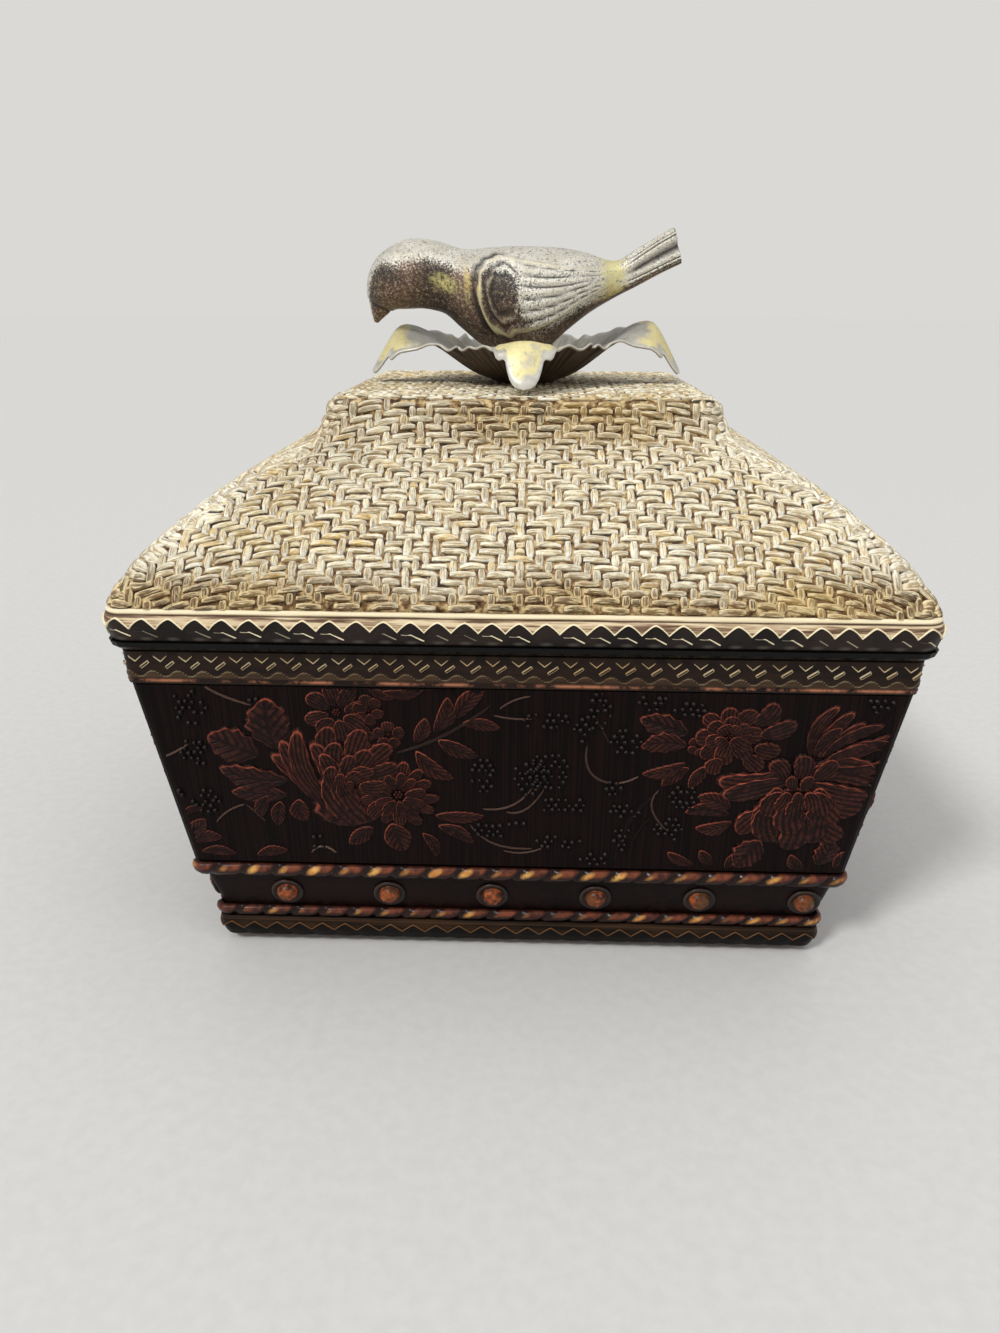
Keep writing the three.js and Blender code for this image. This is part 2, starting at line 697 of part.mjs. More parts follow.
function birdSection(share, top, bottom, halfWidth) {
  const tail = THREE.MathUtils.smoothstep(share, tailStartShare, 1);
  const feathers = THREE.MathUtils.smoothstep(share, featherStartShare, 1);
  const wing = THREE.MathUtils.smoothstep(share, wingStartShare, wingFullShare)
    * (1 - THREE.MathUtils.smoothstep(share, wingFullShare, wingEndShare));
  const power = 2 / (2 + tail * tailSquareness);
  const section = [];
  for (let j = 0; j < birdSides; j++) {
    const bearing = j / birdSides * 2 * Math.PI;
    const groove = j % 2 === 0 ? 1 : 1 - featherGrooveShare * feathers;
    const flank = Math.max(0, Math.abs(Math.cos(bearing - Math.sign(Math.cos(bearing)) * wingBearing)) - 0.5);
    const swell = groove * (1 + wingLiftShare * wing * 2 * flank);
    const across = Math.sign(Math.cos(bearing)) * Math.abs(Math.cos(bearing)) ** power * swell;
    const up = Math.sign(Math.sin(bearing)) * Math.abs(Math.sin(bearing)) ** power * swell;
    section.push([
      (top.x + bottom.x) / 2 + up * (top.x - bottom.x) / 2,
      across * halfWidth,
      (top.y + bottom.y) / 2 + up * (top.y - bottom.y) / 2,
    ]);
  }
  return section;
}

const washerTop = domeTop - hollowInset - seatGap;

function washerGeometry() {
  const bottom = washerTop - washerThickness;
  const disc = uprightCylinder(washerDiameter / 2, bottom, washerTop);
  const bore = uprightCylinder(boreRadius, bottom - cutOverrun, washerTop + cutOverrun);
  return geometryOf(solidOf(disc).subtract(solidOf(bore)));
}

function screwGeometry() {
  const headTop = washerTop - washerThickness - seatGap;
  const headRadius = screwHeadDiameter / 2;
  const shank = screwDiameter / 2;
  const tip = calyxSeat + calyxSheet + seatGap + screwBite;
  return turnedPiece([
    [0, headTop - screwHeadHeight],
    [headRadius / 2, headTop - screwHeadHeight],
    [headRadius, headTop - screwHeadHeight / 2],
    [headRadius, headTop],
    [shank, headTop],
    [shank, tip - shank],
    [0, tip],
  ], roundSides);
}

// One side of the body and of the lid, built at the front and turned into place
function sideGroup(name, quarter) {
  const side = new THREE.Group();
  side.rotation.z = quarter * Math.PI / 2;
  side.add(named(`wall_${name}`, wallGeometry(), materials.wood));
  side.add(named(`floral_panel_${name}`, panelGeometry(), materials.florals));
  side.add(named(`frieze_${name}`, friezeGeometry(), materials.frieze));
  side.add(named(`lid_frame_${name}`, lidFrameGeometry(), materials.lacquer));
  studPlaces.forEach((x, i) => {
    const stud = named(`stud_${name}_${i + 1}`, studGeometry(), materials.stud);
    stud.position.set(x, -friezeHalfAt(studHeight), studHeight);
    stud.rotation.x = Math.PI / 2 + friezeTilt;
    side.add(stud);
  });
  return side;
}

function feet() {
  const group = new THREE.Group();
  const offset = baseMouldingFootWidth / 2 - footInset;
  const corners = { front_left: [-1, -1], front_right: [1, -1], back_right: [1, 1], back_left: [-1, 1] };
  for (const [name, [x, y]] of Object.entries(corners)) {
    const foot = named(`foot_${name}`, footGeometry(), materials.foot);
    foot.position.set(x * offset, y * offset, 0);
    group.add(foot);
  }
  return group;
}

const upperRopeCentre = friezeTop - upperRopeHeight / 2;
const lowerRopeCentre = friezeBottom + lowerRopeHeight / 2;

const box = new THREE.Group();
box.add(feet());
box.add(named('bottom_board', bottomBoardGeometry(), materials.wood));
box.add(named('floor_liner', linerGeometry(), materials.felt));
box.add(named('base_moulding', baseMouldingGeometry(), materials.moulding));
box.add(named('rope_bead_lower', ropeGeometry(lowerRopeCentre, lowerRopeHeight, lowerRopeDepth), materials.rope));
box.add(named('rope_bead_upper', ropeGeometry(upperRopeCentre, upperRopeHeight, upperRopeDepth), materials.rope));
box.add(named('rim_band', rimBandGeometry(), materials.band));
['front', 'right', 'back', 'left'].forEach((name, quarter) => box.add(sideGroup(name, quarter)));
box.add(named('lid_lip', lipGeometry(), materials.lacquer));
box.add(named('lid_rim_strip', rimStripGeometry(), materials.strip));
box.add(named('lid_shell', domeSkin(shellInset, hollowInset), materials.shell));
box.add(named('woven_cover', domeSkin(0, coverThickness), materials.weave));
box.add(named('leaf_calyx', calyxGeometry(), materials.leaf));
box.add(named('bird', birdGeometry(), materials.bird));
box.add(named('finial_washer', washerGeometry(), materials.steel));
box.add(named('finial_screw', screwGeometry(), materials.steel));

export default box;
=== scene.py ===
import bisect
import math
import random

import bmesh
import bpy
from mathutils import Matrix, Vector


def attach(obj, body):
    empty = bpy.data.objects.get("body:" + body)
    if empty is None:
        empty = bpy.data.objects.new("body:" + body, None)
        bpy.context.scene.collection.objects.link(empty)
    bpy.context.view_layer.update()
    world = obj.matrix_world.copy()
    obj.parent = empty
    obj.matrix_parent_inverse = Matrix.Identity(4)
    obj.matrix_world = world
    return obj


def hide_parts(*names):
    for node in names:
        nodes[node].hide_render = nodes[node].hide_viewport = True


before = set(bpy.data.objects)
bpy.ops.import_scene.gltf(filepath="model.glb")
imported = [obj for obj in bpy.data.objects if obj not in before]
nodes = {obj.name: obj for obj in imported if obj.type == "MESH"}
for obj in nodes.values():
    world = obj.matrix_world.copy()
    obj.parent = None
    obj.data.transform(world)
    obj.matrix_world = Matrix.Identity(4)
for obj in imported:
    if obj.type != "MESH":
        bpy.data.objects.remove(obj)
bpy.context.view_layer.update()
sideNames = ["front", "right", "back", "left"]  # each a quarter turn on from the last
mm = 0.001
print("frame loaded:", len(nodes), "nodes")


# Small tools for numbers. Lengths are millimetres until a piece is finished
def between(low, high, share):
    return low + (high - low) * share


def smooth(low, high, value):
    share = min(1, max(0, (value - low) / (high - low)))
    return share * share * (3 - 2 * share)


def bump(distance, width):
    return math.exp(-(distance / width) ** 2)


def splineAt(table, share):
    last = len(table) - 1
    i = min(int(share * last), last - 1)
    w = share * last - i
    rows = [table[max(i - 1, 0)], table[i], table[i + 1], table[min(i + 2, last)]]
    out = []
    for a, b, c, d in zip(*rows):
        v0, v1 = (c - a) / 2, (d - b) / 2
        out.append((2 * b - 2 * c + v0 + v1) * w ** 3 + (-3 * b + 3 * c - 2 * v0 - v1) * w ** 2 + v0 * w + b)
    return out


def tableAt(places, values, place):
    last = len(places) - 1
    i = min(max(bisect.bisect_right(places, place) - 1, 0), last - 1)

    def slope(k):
        a, b = max(k - 1, 0), min(k + 1, last)
        return (values[b] - values[a]) / (places[b] - places[a])

    width = places[i + 1] - places[i]
    t = (place - places[i]) / width
    m0, m1 = slope(i) * width, slope(i + 1) * width
    return ((2 * t ** 3 - 3 * t ** 2 + 1) * values[i] + (t ** 3 - 2 * t ** 2 + t) * m0
            + (3 * t ** 2 - 2 * t ** 3) * values[i + 1] + (t ** 3 - t ** 2) * m1)


def quarterTurned(side, x, y):
    for _ in range(side % 4):
        x, y = -y, x
    return x, y


# A point on a square with rounded corners: turn counts quarters from the middle of the front
def onSquare(turn, half, radius, out=0):
    side = math.floor(turn + 0.5)
    straight = half - radius
    along = (turn - side) * (2 * straight + radius * math.pi / 2)
    angle = max(0, abs(along) - straight) / radius
    x = math.copysign(min(abs(along), straight) + (radius + out) * math.sin(angle), along)
    y = -straight - (radius + out) * math.cos(angle)
    return quarterTurned(side, x, y)


# Small tools for meshes
def meshFrom(bm, name):
    mesh = bpy.data.meshes.new(name)
    bm.to_mesh(mesh)
    bm.free()
    return mesh


def placed(name, data):
    made = bpy.data.objects.new(name, data)
    bpy.context.scene.collection.objects.link(made)
    return made


def gridOf(columns, rows):
    bm = bmesh.new()
    bmesh.ops.create_grid(bm, x_segments=columns, y_segments=rows, size=0.5)
    return bm


def stampGrid(columns, rows):
    return meshFrom(gridOf(columns, rows), "stamp")


def welded(bm):
    bmesh.ops.remove_doubles(bm, verts=bm.verts, dist=1e-4)
    bmesh.ops.recalc_face_normals(bm, faces=bm.faces)
    return bm


# Moves every vertex to the point that shape gives, and keeps the marks that follow it
def shapeVerts(bm, marks, shape):
    layers = [bm.verts.layers.float.new(mark) for mark in marks]
    for index, vert in enumerate(bm.verts):
        point, *values = shape(index, vert.co.copy())
        vert.co = point
        for layer, value in zip(layers, values):
            vert[layer] = value


def stampAll(bm, stamp, places, shape, marks):
    stamped = bmesh.new()
    for _ in places:
        stamped.from_mesh(stamp)
    size = len(stamp.vertices)
    shapeVerts(stamped, marks, lambda index, spot: shape(places[index // size], spot))
    mesh = meshFrom(stamped, "stamped")
    bm.from_mesh(mesh)
    bpy.data.meshes.remove(mesh)
    return bm


def ringSweep(columns, rows, shape, marks):
    bm = gridOf(columns, rows)
    shapeVerts(bm, marks, lambda _, spot: shape(4 * spot.x, round((spot.y + 0.5) * rows)))
    return welded(bm)


# Turns an outline of radii and heights round the upright axis
def spin(bm, outline, steps, marks=()):
    verts = [bm.verts.new((radius, 0, height)) for radius, height in outline]
    for vert in verts:
        for layer, value in marks:
            vert[layer] = value
    edges = [bm.edges.new(pair) for pair in zip(verts, verts[1:])]
    bmesh.ops.spin(bm, geom=verts + edges, cent=(0, 0, 0), axis=(0, 0, 1), angle=2 * math.pi, steps=steps,
                   use_merge=True)
    return welded(bm)


def finishPiece(bm, name, body, material, stands=()):
    bmesh.ops.scale(bm, vec=(mm, mm, mm), verts=bm.verts)
    for face in bm.faces:
        face.smooth = True
    mesh = meshFrom(bm, name)
    mesh.materials.append(material)
    piece = placed(name, mesh)
    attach(piece, body)
    if stands:
        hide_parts(*stands)
    return piece


# Small tools for materials. Colours are written as they should look, 0 to 255
def tone(red, green, blue):
    def linear(value):
        value /= 255
        return value / 12.92 if value <= 0.04045 else ((value + 0.055) / 1.055) ** 2.4
    return (linear(red), linear(green), linear(blue), 1)


class Finish:
    def __init__(self, name, roughness=0.5, metallic=0, **shader):
        self.material = bpy.data.materials.new(name)
        self.material.use_nodes = True
        self.tree = self.material.node_tree
        self.shader = self.tree.nodes["Principled BSDF"]
        self.shader.inputs["Roughness"].default_value = roughness
        self.shader.inputs["Metallic"].default_value = metallic
        for key, value in shader.items():
            self.shader.inputs[key.replace("_", " ")].default_value = value
        self.place = self.add("ShaderNodeTexCoord").outputs["Object"]

    def add(self, kind, links=(), **settings):
        node = self.tree.nodes.new(kind)
        for key, value in settings.items():
            if key in node.inputs:
                node.inputs[key].default_value = value
            else:
                setattr(node, key, value)
        for key, source in links:
            self.tree.links.new(source, node.inputs[key])
        return node

    # A socket takes a number, a colour or another node's output
    def feed(self, socket, value):
        if isinstance(value, tuple):
            socket.default_value = tone(*value)
        elif isinstance(value, (int, float)):
            socket.default_value = value
        else:
            self.tree.links.new(value, socket)

    def marks(self, *names):
        return [self.add("ShaderNodeAttribute", attribute_name=name).outputs["Fac"] for name in names]

    def noise(self, scale, detail=3, roughness=0.55, stretch=None):
        place = self.place
        if stretch:
            place = self.add("ShaderNodeMapping", [("Vector", place)], Scale=stretch).outputs[0]
        return self.add("ShaderNodeTexNoise", [("Vector", place)], Scale=scale, Detail=detail,
                        Roughness=roughness).outputs["Fac"]

    # Streaks that follow a piece's own marks
    def fibres(self, across, along, which, scale, detail):
        place = self.add("ShaderNodeCombineXYZ", [("X", across), ("Y", along), ("Z", which)]).outputs[0]
        return self.add("ShaderNodeTexNoise", [("Vector", place)], Scale=scale, Detail=detail).outputs["Fac"]

    def math(self, operation, first, second=0):
        node = self.add("ShaderNodeMath", operation=operation)
        self.feed(node.inputs[0], first)
        self.feed(node.inputs[1], second)
        return node.outputs[0]

    def times(self, first, second):
        return self.math("MULTIPLY", first, second)

    def plus(self, first, second):
        return self.math("ADD", first, second)

    def ramp(self, source, *stops):
        node = self.add("ShaderNodeValToRGB", [("Fac", source)])
        ramp = node.color_ramp
        ramp.elements[0].position, ramp.elements[1].position = stops[0][0], stops[-1][0]
        for place, _ in stops[1:-1]:
            ramp.elements.new(place)
        for element, (_, colour) in zip(ramp.elements, stops):
            element.color = tone(*colour)
        return node.outputs["Color"]

    def level(self, source, low, high, start=0.0, end=1.0):
        limits = {"From Min": low, "From Max": high, "To Min": start, "To Max": end}
        return self.add("ShaderNodeMapRange", [("Value", source)], **limits).outputs[0]

    def mix(self, share, first, second):
        node = self.add("ShaderNodeMix", data_type="RGBA")
        for index, value in ((0, share), (6, first), (7, second)):
            self.feed(node.inputs[index], value)
        return node.outputs[2]

    # From the first colour to the second as the source goes from low to high
    def blend(self, source, low, high, first, second, most=1.0):
        return self.mix(self.level(source, low, high, 0, most), first, second)

    # The roughness is given as a source, its least and its most
    def dress(self, colour, rough, height, depth, strength):
        self.tree.links.new(colour, self.shader.inputs["Base Color"])
        if rough:
            source, least, most = rough
            self.tree.links.new(self.level(source, 0.3, 0.7, least, most), self.shader.inputs["Roughness"])
        bumps = self.add("ShaderNodeBump", [("Height", height)], Distance=depth * mm, Strength=strength)
        self.tree.links.new(bumps.outputs["Normal"], self.shader.inputs["Normal"])
        return self.material


# Camera at the photograph's place and angle
camera = {"place": (3, -409, 219.2), "yaw": -1.74, "pitch": 20.22, "roll": 0.27, "lens": 27.14,
          "sensor": 36, "nearest": 0.01}


def makeCamera():
    data = bpy.data.cameras.new("camera")
    data.lens = camera["lens"]
    data.sensor_width = camera["sensor"]
    data.clip_start = camera["nearest"]
    yaw, pitch, roll = (math.radians(camera[key]) for key in ("yaw", "pitch", "roll"))
    forward = Vector((math.sin(yaw) * math.cos(pitch), math.cos(yaw) * math.cos(pitch), -math.sin(pitch)))
    right = Vector((math.cos(yaw), -math.sin(yaw), 0))
    up = right.cross(forward)
    tiltedRight = right * math.cos(roll) + up * math.sin(roll)
    tiltedUp = up * math.cos(roll) - right * math.sin(roll)
    turn = Matrix((tiltedRight, tiltedUp, -forward)).transposed()
    made = placed("camera", data)
    made.matrix_world = Matrix.Translation(Vector(camera["place"]) * mm) @ turn.to_4x4()
    bpy.context.scene.camera = made


makeCamera()

# Pale floor, pale surroundings and soft lamps
studio = {
    "floorReach": 12.0,
    "floorColours": ((216, 215, 212), (211, 210, 207)),
    "backgroundColour": (218, 217, 214),
    "ambient": 0.47,
    "suns": [  # name, from where, how soft in degrees, strength
        ("top", (0.1, -0.1, 1), 60, 0.62),
        ("key", (-0.6, -0.75, 0.95), 12, 1.75),
        ("fill", (0.9, -0.7, 0.45), 50, 0.3),
    ],
}


def makeFloor():
    bm = bmesh.new()
    bmesh.ops.create_circle(bm, cap_ends=True, segments=96, radius=studio["floorReach"])
    floor = placed("floor", meshFrom(bm, "floor"))
    finish = Finish("floorPaper", roughness=0.55)
    speck = finish.noise(220, 4)
    colour = finish.blend(speck, 0.35, 0.65, *studio["floorColours"])
    floor.data.materials.append(finish.dress(colour, None, speck, 0.1, 0.15))


# The surroundings light the box evenly, and the camera sees a plain tone
def makeSurroundings():
    world = bpy.data.worlds.new("studio")
    bpy.context.scene.world = world
    world.use_nodes = True
    tree = world.node_tree
    lit = tree.nodes["Background"]
    lit.inputs["Color"].default_value = (1, 1, 1, 1)
    lit.inputs["Strength"].default_value = studio["ambient"]
    seen = tree.nodes.new("ShaderNodeBackground")
    seen.inputs["Color"].default_value = tone(*studio["backgroundColour"])
    rays = tree.nodes.new("ShaderNodeLightPath")
    choice = tree.nodes.new("ShaderNodeMixShader")
    for index, source in enumerate((rays.outputs["Is Camera Ray"], lit.outputs[0], seen.outputs[0])):
        tree.links.new(source, choice.inputs[index])
    tree.links.new(choice.outputs[0], tree.nodes["World Output"].inputs[0])


def makeLamps():
    for name, place, softness, strength in studio["suns"]:
        lamp = bpy.data.lights.new(name, "SUN")
        lamp.angle = math.radians(softness)
        lamp.energy = strength
        made = placed(name, lamp)
        made.location = place
        made.rotation_euler = (-Vector(place)).to_track_quat("-Z", "Y").to_euler()


makeFloor()
makeSurroundings()
makeLamps()
bpy.context.scene.view_settings.view_transform = "Standard"
print("studio ready")


# Woven lid cover: strands laid over the dome in a diamond twill
cover = {
    "strandPitch": 2.85,
    "rowPitch": 2.65,
    "columnsToTurn": 12,
    "rowsToTurn": 8,
    "relief": 0.85,
    "bed": -0.5,  # the ground lies under the strands
    "weftGap": 0.35,
    "warpLength": 3.95,
    "warpWidth": 2.55,
    "weftWidth": 2.5,
    "footDroop": 12,  # rows sag towards the hips
    "neckDroop": 5,
    "pastHip": 1.7,  # every other row runs past the hip, and its neighbour stops short
    "hipSpread": 0.42,
    "pastNeck": 4.4,  # how far the strands of the sides and of the top run on over the edge
    "pastFlat": 3.2,
    "roundFrom": 6,  # the top's strands leave out its corners
    "cornerRadius": 8.4,
    "footShade": 12,
    "topShade": 34,
    "groundGrid": (96, 40),
    "groundThickness": 0.8,
    "twillStep": 4,
    "shortest": 1.2,  # no weft strand is shorter
    "seed": 11,
}
dome = {
    "footHalf": 125.5, "neckFootHalf": 70, "neckTopHalf": 67, "bottom": 131.5, "neckFootRise": 43.5,
    "top": 187.5, "topRadius": 5.4, "footRadius": 7, "hipRadius": 10,
    "slope": [(0, 0), (0.06, 0.13), (0.2, 0.34), (0.5, 0.645), (0.72, 0.81), (0.9, 0.915), (1, 1)],
}


def domeProfile():
    levels = []
    for i in range(61):
        run, rise = splineAt(dome["slope"], i / 60)
        radius = between(dome["footRadius"], dome["hipRadius"], min(1, i / 30))
        levels.append((between(dome["footHalf"], dome["neckFootHalf"], run),
                       dome["bottom"] + dome["neckFootRise"] * rise, radius))
    curve = dome["topRadius"]
    for i in range(13):
        turn = i / 12 * math.pi / 2
        levels.append((dome["neckTopHalf"] - curve + curve * math.cos(turn),
                       dome["top"] - curve + curve * math.sin(turn), dome["hipRadius"]))
    levels.append((levels[-1][0] - 20, dome["top"], dome["hipRadius"]))
    lengths = [0.0]
    for (h0, z0, _), (h1, z1, _) in zip(levels, levels[1:]):
        lengths.append(lengths[-1] + math.hypot(h1 - h0, z1 - z0))
    return lengths, levels


domeLengths, domeLevels = domeProfile()
neckTopLength = domeLengths[61]
domeEdgeLength = domeLengths[-2]


# Half width, height, corner radius and outward direction at a length up the dome
def domeAt(up):
    i = min(max(bisect.bisect_right(domeLengths, up) - 1, 0), len(domeLengths) - 2)
    share = (up - domeLengths[i]) / (domeLengths[i + 1] - domeLengths[i])
    half, z, radius = (between(a, b, share) for a, b in zip(domeLevels[i], domeLevels[i + 1]))
    h0, z0, _ = domeLevels[max(i - 1, 0)]
    h1, z1, _ = domeLevels[min(i + 2, len(domeLevels) - 1)]
    length = math.hypot(h1 - h0, z1 - z0)
    return half, z, radius, (z1 - z0) / length, (h0 - h1) / length


def onDome(side, across, up, rise):
    half, z, radius, out, lift = domeAt(up)
    straight = half - radius
    angle = max(0, abs(across) - straight) / radius
    reach = radius + rise * out
    x = math.copysign(min(abs(across), straight) + reach * math.sin(angle), across)
    x, y = quarterTurned(side, x, -straight - reach * math.cos(angle))
    return Vector((x, y, z + rise * lift))


def hipAt(up):
    half, _, radius, _, _ = domeAt(min(max(up, 0), domeEdgeLength))
    return half - radius + radius * math.pi / 4


# Counts up and down again. Held is 1 where both ends come twice
def zigzag(count, toTurn, held=0):
    step = count % (2 * toTurn)
    return min(step, 2 * toTurn - held - step)


# How one strand differs from the next: tint, turn, bow, size and the shadow under it
def unevenness(dice):
    return (dice.random(), dice.uniform(-0.07, 0.07), dice.uniform(-0.3, 0.4), dice.uniform(0.86, 1.06),
            dice.random())


# Strands of one face as (is warp, across, up, length, width, unevenness)
def weaveStrands(rows, firstRow, reachAt, pastHip, dice):
    strands = []
    pitch, rowPitch = cover["strandPitch"], cover["rowPitch"]

    def levelAt(row):
        return zigzag(row, cover["rowsToTurn"], 1)

    for row in range(firstRow, firstRow + rows):
        level, middle = levelAt(row), (row + 0.5) * rowPitch
        reach = reachAt(middle)
        if reach <= pitch:
            continue
        shift = pastHip if row % 2 else -pastHip
        lowest, highest = shift - reach, shift + reach
        most = int(reach / pitch) + 5
        crossings = [column for column in range(-most, most + 1)
                     if (zigzag(column, cover["columnsToTurn"]) + level) % cover["twillStep"] == 0]
        filled = []
        for column, after in zip(crossings, crossings[1:]):
            filled.append(column)
            if after - column > cover["twillStep"]:
                filled.append((column + after) // 2)
        filled.append(crossings[-1])
        for column in filled:
            across = column * pitch
            if not lowest < across < highest or levelAt(row - 1) == level:
                continue
            isTall = levelAt(row + 1) == level
            length = cover["warpLength"] + (rowPitch if isTall else 0)
            up = (row + (1 if isTall else 0.5)) * rowPitch
            strands.append((True, across, up, length, cover["warpWidth"], unevenness(dice)))
        for column, after in zip(filled, filled[1:]):
            low = max((column + 0.5) * pitch, lowest)
            high = min((after - 0.5) * pitch, highest)
            length = high - low - cover["weftGap"] + 0.5
            if length > cover["shortest"]:
                across = (low + high) / 2
                strands.append((False, across, middle, length, cover["weftWidth"], unevenness(dice)))
    return strands


pillSteps = [-0.5, -0.42, -0.24, 0, 0.24, 0.42, 0.5]
pillRise = [-0.9, 0.35, 0.92, 1.1, 0.92, 0.35, -0.9]
# Weft rub runs from a painted shadow at the lower edge to a painted highlight at the upper edge, as if lit
# from above
weftRubAndPaintedLight = [-0.9, -0.35, 0.35, 0.45, 0.6, 1, 0.9]
warpRub = [0.5, 1, 0.3, 0.1, 0.3, 1, 0.5]


# A rounded strand with pale rims, a painted highlight along its upper edges and a painted shadow line under
# it
def pillPoint(strand, spot):
    isWarp, across, up, length, width, (tint, turn, bow, size, shadow) = strand
    i, j = round((spot.x + 0.5) * 6), round((spot.y + 0.5) * 6)
    share = 2 * abs(pillSteps[i])
    a = pillSteps[i] * length * (0.5 + 0.5 * size)
    c = pillSteps[j] * width * size * math.sqrt(1 - 0.8 * share ** 2.5)
    run, over = 0.1 * a, c
    c += a * turn + bow * (1 - share * share) * (0.3 if isWarp else 1)
    lengthways = pillRise[i] if abs(i - 3) > 1 else 1.1
    rise = min(pillRise[j], lengthways) + (0.25 if isWarp else -0.35 * share ** 4)
    if isWarp:
        rubAndPaintedLight = max(warpRub[j], warpRub[i] if abs(i - 3) > 1 else 0)
        # A warp's left edge gets a painted shadow
        rubAndPaintedLight = rubAndPaintedLight - 1.1 * shadow if j == 0 else rubAndPaintedLight
        return across + c, up + a, rise, rubAndPaintedLight, tint, over, run
    rubAndPaintedLight = max(weftRubAndPaintedLight[j], 0.8 if abs(i - 3) > 1 and j > 1 else -1)
    # A weft's lower edge is a painted shadow line, fainter on some strands
    rubAndPaintedLight = rubAndPaintedLight + 0.6 * (1 - shadow) if j < 2 else rubAndPaintedLight
    return across + a, up + c, rise, rubAndPaintedLight, tint, over, run


def weaveMaterial():
    finish = Finish("strawStrands", roughness=0.5, Specular_IOR_Level=0.25)
    rubAndPaintedLight, tint, height, over, run = finish.marks("rubAndPaintedLight", "tint", "height", "over", "run")
    fibre = finish.fibres(over, run, finish.times(tint, 50), 2.4, 4)
    patch = finish.noise(22, 3)
    fleck = finish.noise(900, 3, 0.7)
    middle = finish.ramp(tint, (0, (238, 228, 194)), (0.18, (194, 175, 138)), (0.4, (245, 235, 202)),
                         (0.62, (222, 205, 165)), (0.84, (250, 239, 203)), (1, (232, 202, 138)))
    # Brown follows the height mark, which holds each strand's shade: partly patina, partly painted shade
    # towards the neck, and a painted shadow of the calyx on the top
    brownAndPaintedShade = finish.mix(tint, (46, 29, 17), (110, 76, 44))
    share = finish.plus(height, finish.level(patch, 0.3, 0.7, -0.4, 0.4))
    middle = finish.blend(share, 0.25, 0.9, middle, brownAndPaintedShade, 0.95)
    middle = finish.blend(finish.noise(17, 2), 0.52, 0.7, middle, (222, 190, 108), 0.5)
    # Pale edge colour: pale rims, and a painted highlight on the strands' upper edges
    edge = finish.blend(share, 0.3, 1.0, (255, 253, 240), (250, 230, 180))
    frayedRubAndPaintedLight = finish.plus(rubAndPaintedLight, finish.level(fibre, 0.3, 0.7, -0.3, 0.3))
    body = finish.blend(frayedRubAndPaintedLight, 0.5, 0.85, middle, edge)
    body = finish.blend(fibre, 0.5, 0.6, body, (132, 103, 66), 0.65)
    body = finish.blend(fibre, 0.48, 0.38, body, edge, 0.7)
    body = finish.blend(fleck, 0.5, 0.68, body, (98, 74, 50), 0.28)
    # Painted shadow under the strands, where the rub mark is low
    colour = finish.blend(frayedRubAndPaintedLight, 0.15, -0.5, body, (40, 25, 15), 0.95)
    return finish.dress(colour, (fleck, 0.45, 0.65), finish.plus(fibre, finish.times(fleck, 0.4)), 0.22, 0.7)


def coverGroundMaterial():
    finish = Finish("strawGround", roughness=0.7, Specular_IOR_Level=0.2)
    speck = finish.noise(400, 4)
    colour = finish.ramp(speck, (0.36, (58, 39, 25)), (0.48, (122, 92, 58)), (0.64, (206, 182, 134)))
    return finish.dress(colour, None, speck, 0.2, 0.6)


def droopAt(across, up):
    share = min(1, abs(across) / hipAt(up))
    most = between(cover["footDroop"], cover["neckDroop"], min(1, max(0, up / domeEdgeLength)))
    return most * max(0, (share - 0.45) / 0.55) ** 2


# The height mark carries each strand's shade, which browns it: partly patina, partly painted shade
wovenMarks = ("rubAndPaintedLight", "tint", "height", "over", "run")


def strandLevel(rise, share):
    return cover["bed"] + 0.1 + cover["relief"] * (rise + 0.2) * share


def makeWovenSides(stamp, material):
    lastRow = neckTopLength + cover["pastNeck"]
    rows = int((lastRow + cover["footDroop"]) / cover["rowPitch"]) + 1
    for side, name in enumerate(sideNames):
        dice = random.Random(cover["seed"] + side)
        strands = weaveStrands(rows, 0, lambda up: hipAt(up - droopAt(hipAt(up), up)), cover["pastHip"], dice)
        kept = [s for s in strands if -0.8 < s[2] - droopAt(s[1], s[2]) < lastRow]

        def strandPoint(strand, spot):
            across, up, rise, rubAndPaintedLight, tint, over, run = pillPoint(strand, spot)
            hip = smooth(0.84, 1, abs(across) / hipAt(up - droopAt(across, up)))
            up += cover["hipSpread"] * hip * (up - strand[2])  # rows stand further apart along the hip
            up = max(-0.3, up - droopAt(across, up))
            level = strandLevel(rise, 1 - 0.3 * hip)
            # Shade: browner towards the neck, partly patina and partly painted shade, browner along the foot,
            # less at the hips
            shade = smooth(0.5, 0.95, up / domeEdgeLength) * (1 - 0.45 * abs(across) / hipAt(up))
            shade += 1.15 * bump(up, cover["footShade"])
            # A painted shadow line under the rounded top of the neck
            rubAndPaintedLight = min(rubAndPaintedLight, 1 - 1.1 * bump(up - neckTopLength - 0.6, 0.5))
            return onDome(side, across, min(up, lastRow + 1.2), level), rubAndPaintedLight, tint, shade, over, run

        bm = stampAll(bmesh.new(), stamp, kept, strandPoint, wovenMarks)
        finishPiece(bm, "woven_side_" + name, "lid", material, ["woven_cover"])


